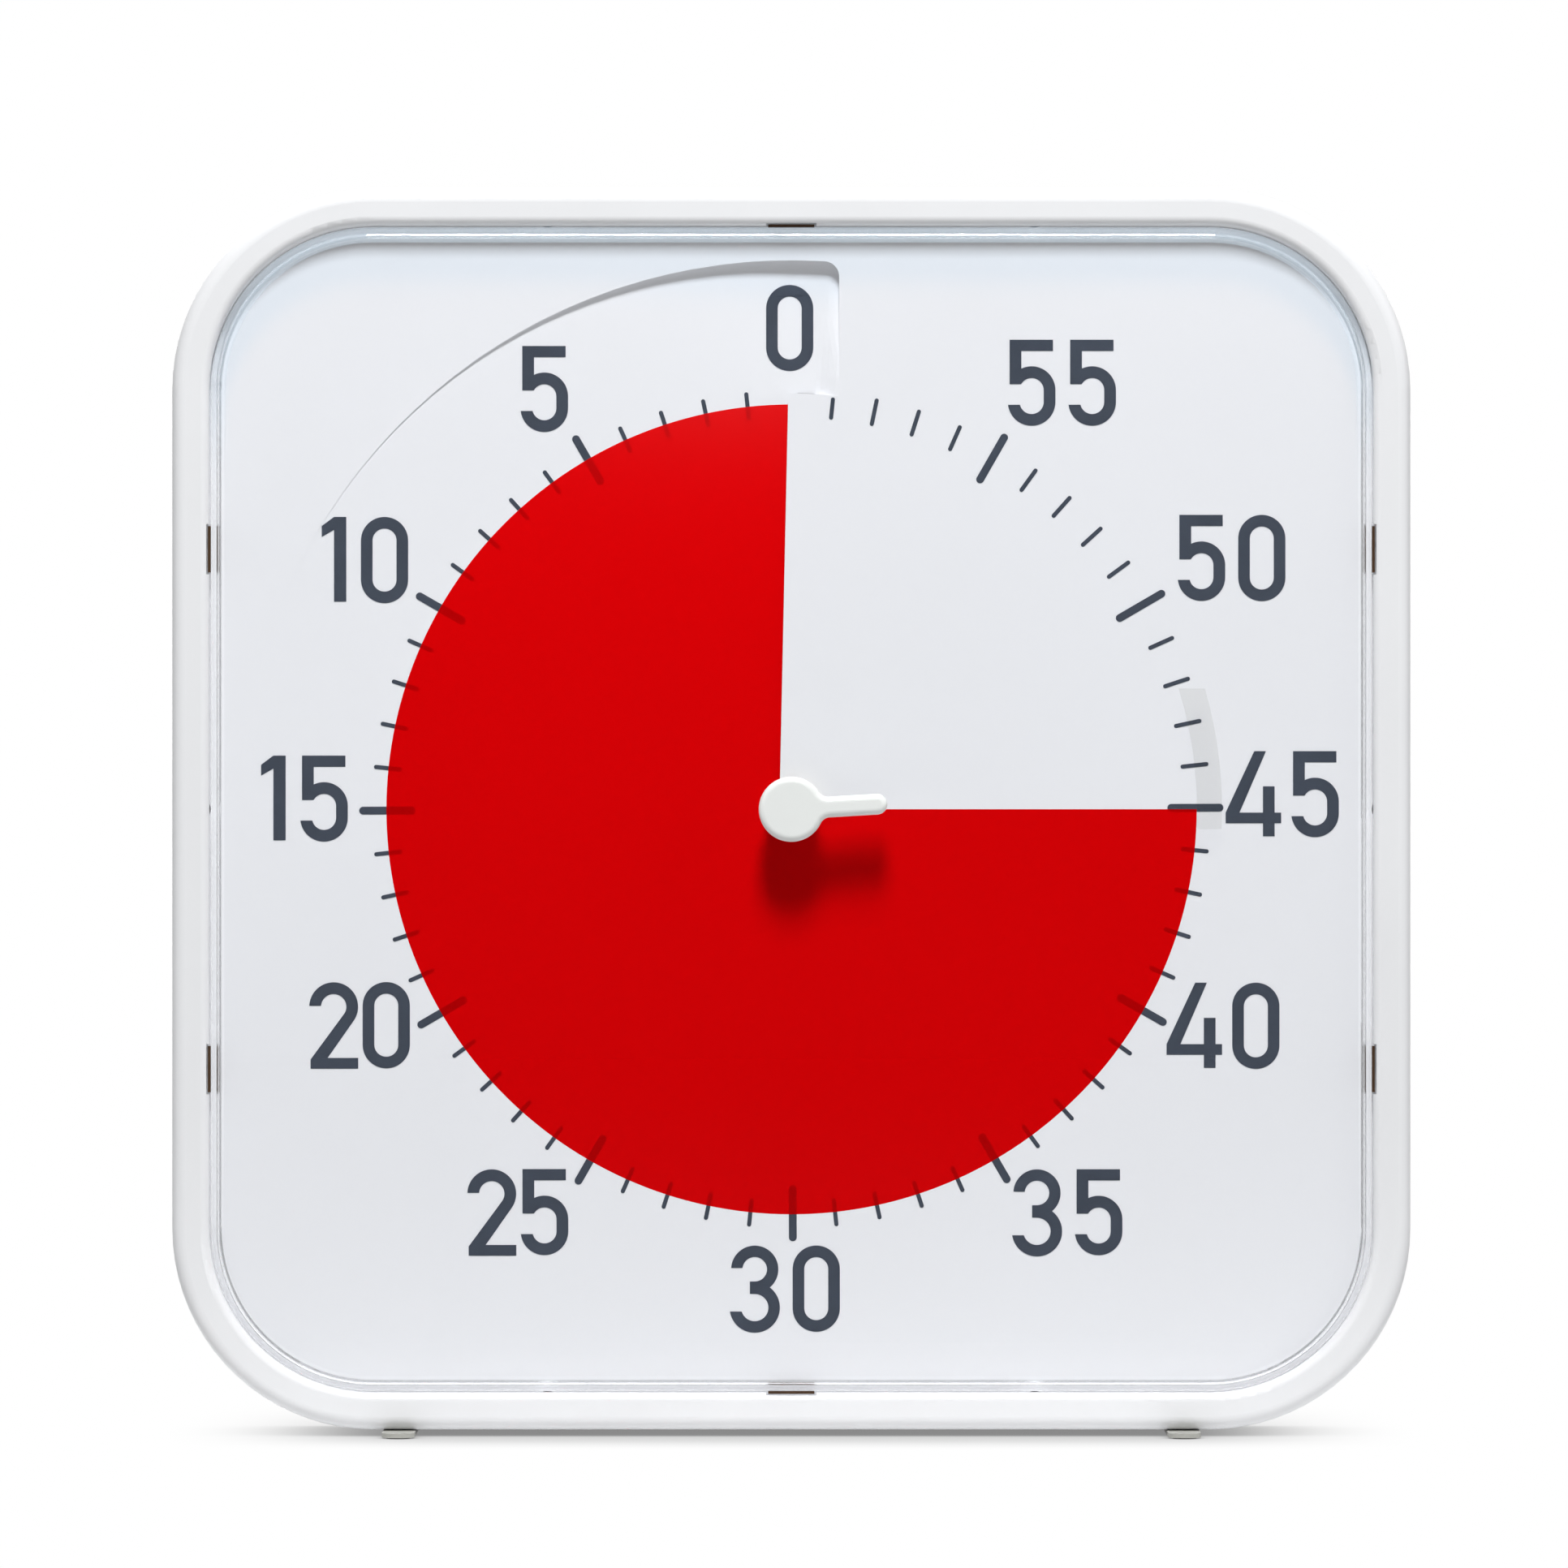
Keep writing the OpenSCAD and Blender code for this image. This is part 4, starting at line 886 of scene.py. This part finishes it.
def add_lamp(name, azimuth, elevation, distance, size, facing):
    """A square soft box; facing is the light that it puts on a surface that faces it."""
    data = bpy.data.lights.new(name, "AREA")
    data.shape = "SQUARE"
    data.size = size
    data.energy = facing * math.pi * math.pi * distance ** 2
    lamp = collect(bpy.data.objects.new(name, data))
    a, e = math.radians(azimuth), math.radians(elevation)
    away = Vector((math.sin(a) * math.cos(e), -math.cos(a) * math.cos(e), math.sin(e)))
    lamp.location = Vector((0, 0, CENTRE_Z)) + away * distance
    lamp.rotation_euler = away.to_track_quat("Z", "Y").to_euler()


def seen_rays(tree):
    """1 for the rays that see the surroundings: those of the camera, mirrors and glass."""
    path = tree.nodes.new("ShaderNodeLightPath")
    seen = path.outputs["Is Camera Ray"]
    for kind in ("Is Glossy Ray", "Is Transmission Ray"):
        either = tree.nodes.new("ShaderNodeMath")
        either.operation = "MAXIMUM"
        tree.links.new(seen, either.inputs[0])
        tree.links.new(path.outputs[kind], either.inputs[1])
        seen = either.outputs["Value"]
    return seen


def add_world(ambient):
    """Soft light all round; what the camera, mirrors and glass see of it is white."""
    world = bpy.data.worlds.new("studio")
    bpy.context.scene.world = world
    world.use_nodes = True
    tree = world.node_tree
    strength = tree.nodes.new("ShaderNodeMapRange")
    strength.inputs["To Min"].default_value = ambient
    strength.inputs["To Max"].default_value = 1.0
    background = tree.nodes["Background"]
    background.inputs["Color"].default_value = WHITE
    tree.links.new(seen_rays(tree), strength.inputs["Value"])
    tree.links.new(strength.outputs["Result"], background.inputs["Strength"])


def add_flag(near, soft_to, far, width, height):
    """Dark cards on the floor and upright behind the camera, which only mirrors and glass see."""
    mesh = bpy.data.meshes.new("flag")
    w = width / 2
    floor_card = [(-w, -near, FLAG_LIFT), (w, -near, FLAG_LIFT),
                  (w, -far, FLAG_LIFT), (-w, -far, FLAG_LIFT)]
    top = [(w, -far, height), (-w, -far, height)]
    mesh.from_pydata(floor_card + top, [], [(0, 1, 2, 3), (3, 2, 4, 5)])
    f = Finish("flag_black", Roughness=1.0, Specular_IOR_Level=0.0)
    f.shader.inputs["Base Color"].default_value = FLAG_BLACK
    place = f.add("ShaderNodeSeparateXYZ")
    fade = f.ramp_between(-near, -soft_to)
    clear = f.add("ShaderNodeBsdfTransparent")
    mix = f.add("ShaderNodeMixShader")
    f.link(f.coords, place.inputs["Vector"])
    f.link(place.outputs["Y"], fade.inputs["Value"])
    f.link(fade.outputs["Result"], mix.inputs["Fac"])
    f.link(clear.outputs["BSDF"], mix.inputs[1])
    f.link(f.shader.outputs["BSDF"], mix.inputs[2])
    f.link(mix.outputs["Shader"], f.output.inputs["Surface"])
    mesh.materials.append(f.material)
    flag = collect(bpy.data.objects.new("flag", mesh))
    flag.visible_camera = False
    flag.visible_diffuse = False
    flag.visible_shadow = False


def floor_bounce(f, unlit, bounce_width):
    """What soft light sees of the floor: unlit gives its grey at the timer and away from it; the lighter grey close
    to the timer is a painted pool of light that brightens the timer's lower edges.
    """
    outside = f.add("ShaderNodeVectorMath", operation="ABSOLUTE")
    f.link(f.coords, outside.inputs[0])
    corner = (cad_box[1].x, cad_box[1].y, 1.0)
    for operation, other in (("SUBTRACT", corner), ("MAXIMUM", (0.0, 0.0, 0.0))):
        step = f.add("ShaderNodeVectorMath", operation=operation)
        step.inputs[1].default_value = other
        f.link(outside.outputs["Vector"], step.inputs[0])
        outside = step
    away = f.add("ShaderNodeVectorMath", operation="LENGTH")
    bounce = f.add("ShaderNodeMapRange")
    bounce.inputs["From Max"].default_value = bounce_width
    bounce.inputs["To Min"].default_value, bounce.inputs["To Max"].default_value = unlit
    grey = f.add("ShaderNodeBsdfDiffuse")
    f.link(outside.outputs["Vector"], away.inputs[0])
    f.link(away.outputs["Value"], bounce.inputs["Value"])
    f.link(bounce.outputs["Result"], grey.inputs["Color"])
    return grey.outputs["BSDF"]


def floor_shadow(f, shadow_width):
    """What the camera sees of the floor: white, with a soft shadow close round the timer."""
    open_sky = f.add("ShaderNodeAmbientOcclusion", samples=SHADOW_SAMPLES)
    open_sky.inputs["Distance"].default_value = shadow_width
    shaded = f.add("ShaderNodeMapRange")
    shaded.inputs["From Max"].default_value = SKY_OPEN
    shaded.inputs["To Min"].default_value = SHADOW_DEPTH
    shaded.inputs["To Max"].default_value = 0.0
    place = f.add("ShaderNodeSeparateXYZ")
    side = f.add("ShaderNodeMath", operation="ABSOLUTE")
    f.link(open_sky.outputs["AO"], shaded.inputs["Value"])
    f.link(f.coords, place.inputs["Vector"])
    f.link(place.outputs["X"], side.inputs[0])
    dark = shaded.outputs["Result"]
    for value, limits in ((side.outputs["Value"], SHADOW_SIDES), (place.outputs["Y"], SHADOW_FRONT)):
        none_at, full_at = limits
        reach = f.ramp_between(min(limits), max(limits))
        reach.inputs["To Min"].default_value = float(none_at > full_at)
        reach.inputs["To Max"].default_value = float(none_at < full_at)
        part = f.add("ShaderNodeMath", operation="MULTIPLY")
        f.link(value, reach.inputs["Value"])
        f.link(dark, part.inputs[0])
        f.link(reach.outputs["Result"], part.inputs[1])
        dark = part.outputs["Value"]
    light = f.add("ShaderNodeMath", operation="SUBTRACT")
    light.inputs[0].default_value = 1.0
    white = f.add("ShaderNodeEmission")
    f.link(dark, light.inputs[1])
    f.link(light.outputs["Value"], white.inputs["Strength"])
    return white.outputs["Emission"]


def add_floor(size, unlit, bounce_width, shadow_width):
    """Pale floor: the camera sees it as white with the timer's shadow, other light sees grey."""
    mesh = bpy.data.meshes.new("floor")
    h = size / 2
    mesh.from_pydata([(-h, -h, 0), (h, -h, 0), (h, h, 0), (-h, h, 0)], [], [(0, 1, 2, 3)])
    f = Finish("floor_white")
    whole = f.add("ShaderNodeMixShader")
    f.link(seen_rays(f.tree), whole.inputs["Fac"])
    f.link(floor_bounce(f, unlit, bounce_width), whole.inputs[1])
    f.link(floor_shadow(f, shadow_width), whole.inputs[2])
    f.link(whole.outputs["Shader"], f.output.inputs["Surface"])
    mesh.materials.append(f.material)
    floor = collect(bpy.data.objects.new("floor", mesh))


def make_studio():
    """Camera, lamps and surroundings."""
    add_camera()
    add_lamp("key", azimuth=0, elevation=56, distance=2.2, size=0.5, facing=1.17)
    add_lamp("rear", azimuth=180, elevation=62, distance=3.2, size=2.0, facing=0.5)
    add_lamp("back", azimuth=180, elevation=14, distance=3.0, size=2.0, facing=0.4)
    add_lamp("fill", azimuth=75, elevation=12, distance=3.0, size=2.0, facing=0.12)
    add_world(ambient=0.12)
    # the floor's grey is painted lighter close to the timer: a painted pool of light
    add_floor(size=14.0, unlit=(0.85, 0.42), bounce_width=0.08, shadow_width=0.16)
    add_flag(near=0.08, soft_to=0.45, far=3.4, width=1.0, height=1.0)
    bpy.context.scene.view_settings.view_transform = "Standard"


make_studio()
dress_frame()
make_disk()
make_knob()
make_window()
make_print()
